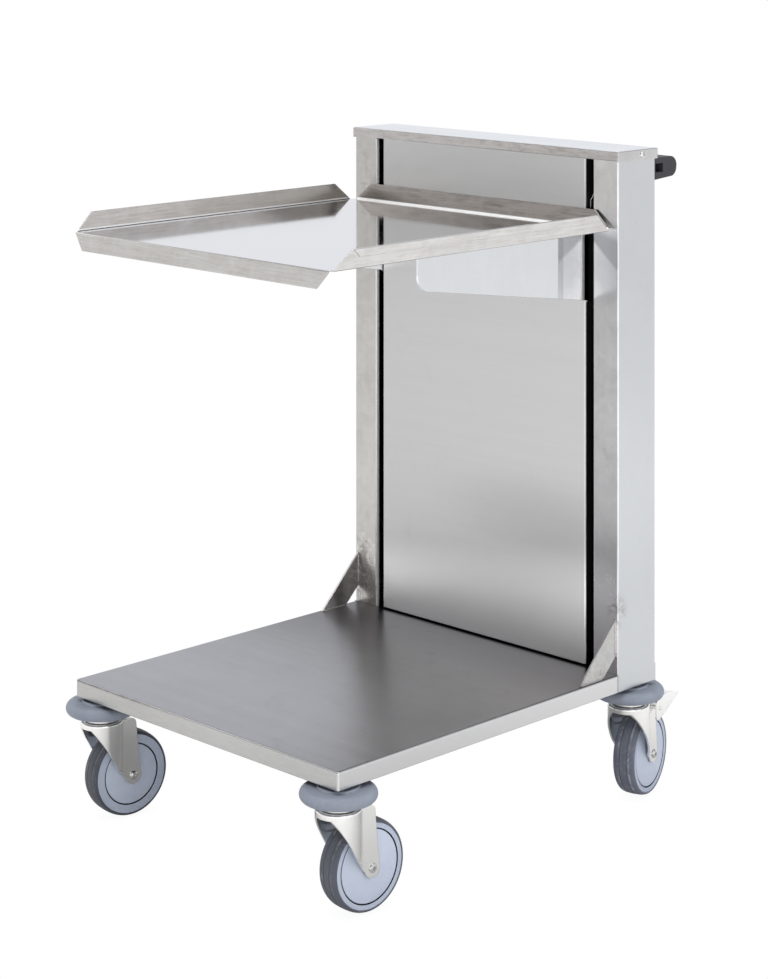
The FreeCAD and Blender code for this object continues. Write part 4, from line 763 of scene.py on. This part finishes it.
w.t.links.new(lp.outputs["Is Camera Ray"], ms.inputs[0])
w.t.links.new(bg_light.outputs[0], ms.inputs[1])
w.t.links.new(bg_seen.outputs[0], ms.inputs[2])
w.t.links.new(ms.outputs[0], wo.inputs[0])


def softbox(name, at, target, size, radiance, colour=(1.0, 1.0, 1.0)):
    """A large diffused panel light. radiance is what a mirror would see in it."""
    data = bpy.data.lights.new(name, "AREA")
    data.shape = "RECTANGLE"
    data.size, data.size_y = size
    data.energy = radiance * math.pi * size[0] * size[1]
    data.color = colour
    o = bpy.data.objects.new(name, data)
    bpy.context.scene.collection.objects.link(o)
    o.location = at
    o.rotation_euler = (Vector(target) - Vector(at)).to_track_quat("-Z", "Y").to_euler()
    return o


softbox("ceiling_softbox", (0.0, -0.2, 3.6), (0.0, 0.0, 0.0), (3.6, 3.6), 2.4, (1.0, 0.995, 0.985))
softbox("right_softbox", (3.6, 0.6, 2.2), (0.0, 0.0, 0.5), (1.6, 2.0), 1.3, (0.96, 0.98, 1.0))
softbox("front_right_softbox", (3.3, -1.5, 1.5), (0.0, 0.0, 0.2), (1.6, 1.2), 1.9, (0.98, 0.99, 1.0))
softbox("left_softbox", (-3.4, -1.6, 2.3), (0.0, 0.0, 0.5), (1.6, 2.0), 1.2, (1.0, 0.985, 0.965))

floor_mesh = bpy.data.meshes.new("studio_floor")
S = 14.0
floor_mesh.from_pydata([(-S, -S, 0), (S, -S, 0), (S, S, 0), (-S, S, 0)], [], [(0, 1, 2, 3)])
floor = bpy.data.objects.new("studio_floor", floor_mesh)
bpy.context.scene.collection.objects.link(floor)
fm, fg = material("studio_floor_paper")
fg.t.nodes.remove(fg.bsdf)
fibre = fg.noise(fg.p, 60.0, 3.0, 0.5)
# what the metal sees: a glowing white floor, its glow painted dim under the cart as a painted shadow and a little
# brighter towards the viewer as painted light
far = fg.span(fg.vmath("LENGTH", fg.p), 0.30, 1.15, 0.10, 0.60, smooth=True)
to_view = fg.vmath("DOT_PRODUCT", fg.vmath("NORMALIZE", fg.p), (0.7071, -0.7071, 0.0))
near_view = fg.math("MULTIPLY", fg.span(to_view, 0.62, 0.93, 0.0, 1.0, smooth=True), fg.span(fg.vmath("LENGTH", fg.p), 0.9, 1.8))
glow = fg.math("MULTIPLY_ADD", near_view, 0.95, far)
dif = fg.node("ShaderNodeBsdfDiffuse")
fg.put(dif.inputs[0], fg.mix(fibre, (0.50, 0.50, 0.50), (0.54, 0.54, 0.54)))
emi_r = fg.node("ShaderNodeEmission")
emi_r.inputs[0].default_value = (1.0, 1.0, 1.0, 1.0)
fg.put(emi_r.inputs[1], glow)
add = fg.node("ShaderNodeAddShader")
fg.t.links.new(dif.outputs[0], add.inputs[0])
fg.t.links.new(emi_r.outputs[0], add.inputs[1])
# what the camera sees: white paper with a faint contact shadow
ao = fg.node("ShaderNodeAmbientOcclusion", samples=8)
ao.inputs["Distance"].default_value = 0.02
shade = fg.span(ao.outputs["AO"], 0.0, 0.9, 0.0, 1.0)
emi = fg.node("ShaderNodeEmission")
fg.put(emi.inputs[0], fg.mix(shade, (0.94, 0.945, 0.95), (1.0, 1.0, 1.0)))
emi.inputs[1].default_value = 1.0
flp = fg.node("ShaderNodeLightPath")
fms = fg.node("ShaderNodeMixShader")
fg.t.links.new(flp.outputs["Is Camera Ray"], fms.inputs[0])
fg.t.links.new(add.outputs[0], fms.inputs[1])
fg.t.links.new(emi.outputs[0], fms.inputs[2])
fg.t.links.new(fms.outputs[0], fg.out.inputs[0])
floor_mesh.materials.append(fm)

# ---------------------------------------------------------------- camera
CAM_AT = (2.6585, -2.63900, 1.3678)
cam_data = bpy.data.cameras.new("camera")
cam = bpy.data.objects.new("camera", cam_data)
bpy.context.scene.collection.objects.link(cam)
bpy.context.scene.camera = cam
cam.location = CAM_AT
cam.rotation_euler = (math.radians(90.0), 0.0, math.radians(44.81))
cam_data.sensor_width = 36.0
cam_data.lens = 91.62
cam_data.clip_start, cam_data.clip_end = 0.05, 60.0


def shift_only_here(path, value):
    """The view shift holds at CAM_AT and is zero once the camera is moved round the cart.
    The driver adds the camera's X and Z eight times over, so that the narrow window is wide enough for its keys."""
    curve = cam_data.driver_add(path)
    driver = curve.driver
    driver.type = "SUM"
    for k in range(16):
        v = driver.variables.new()
        v.type = "TRANSFORMS"
        v.targets[0].id = cam
        v.targets[0].transform_type = "LOC_X" if k % 2 else "LOC_Z"
        v.targets[0].transform_space = "WORLD_SPACE"
    while curve.modifiers:
        curve.modifiers.remove(curve.modifiers[0])
    x = 8.0 * (CAM_AT[0] + CAM_AT[2])
    for at, out in ((x - 0.15, 0.0), (x - 0.05, value), (x + 0.05, value), (x + 0.15, 0.0)):
        k = curve.keyframe_points.insert(at, out)
        k.interpolation = "LINEAR"
    curve.extrapolation = "CONSTANT"


shift_only_here("shift_x", -0.01487)
shift_only_here("shift_y", -0.6076)

bpy.context.scene.view_settings.view_transform = "Standard"
bpy.context.scene.view_settings.look = "None"
bpy.context.scene.cycles.max_bounces = 10
bpy.context.scene.cycles.glossy_bounces = 6
bpy.context.scene.cycles.diffuse_bounces = 4
bpy.context.scene.cycles.caustics_reflective = True
bpy.context.scene.cycles.use_denoising = True
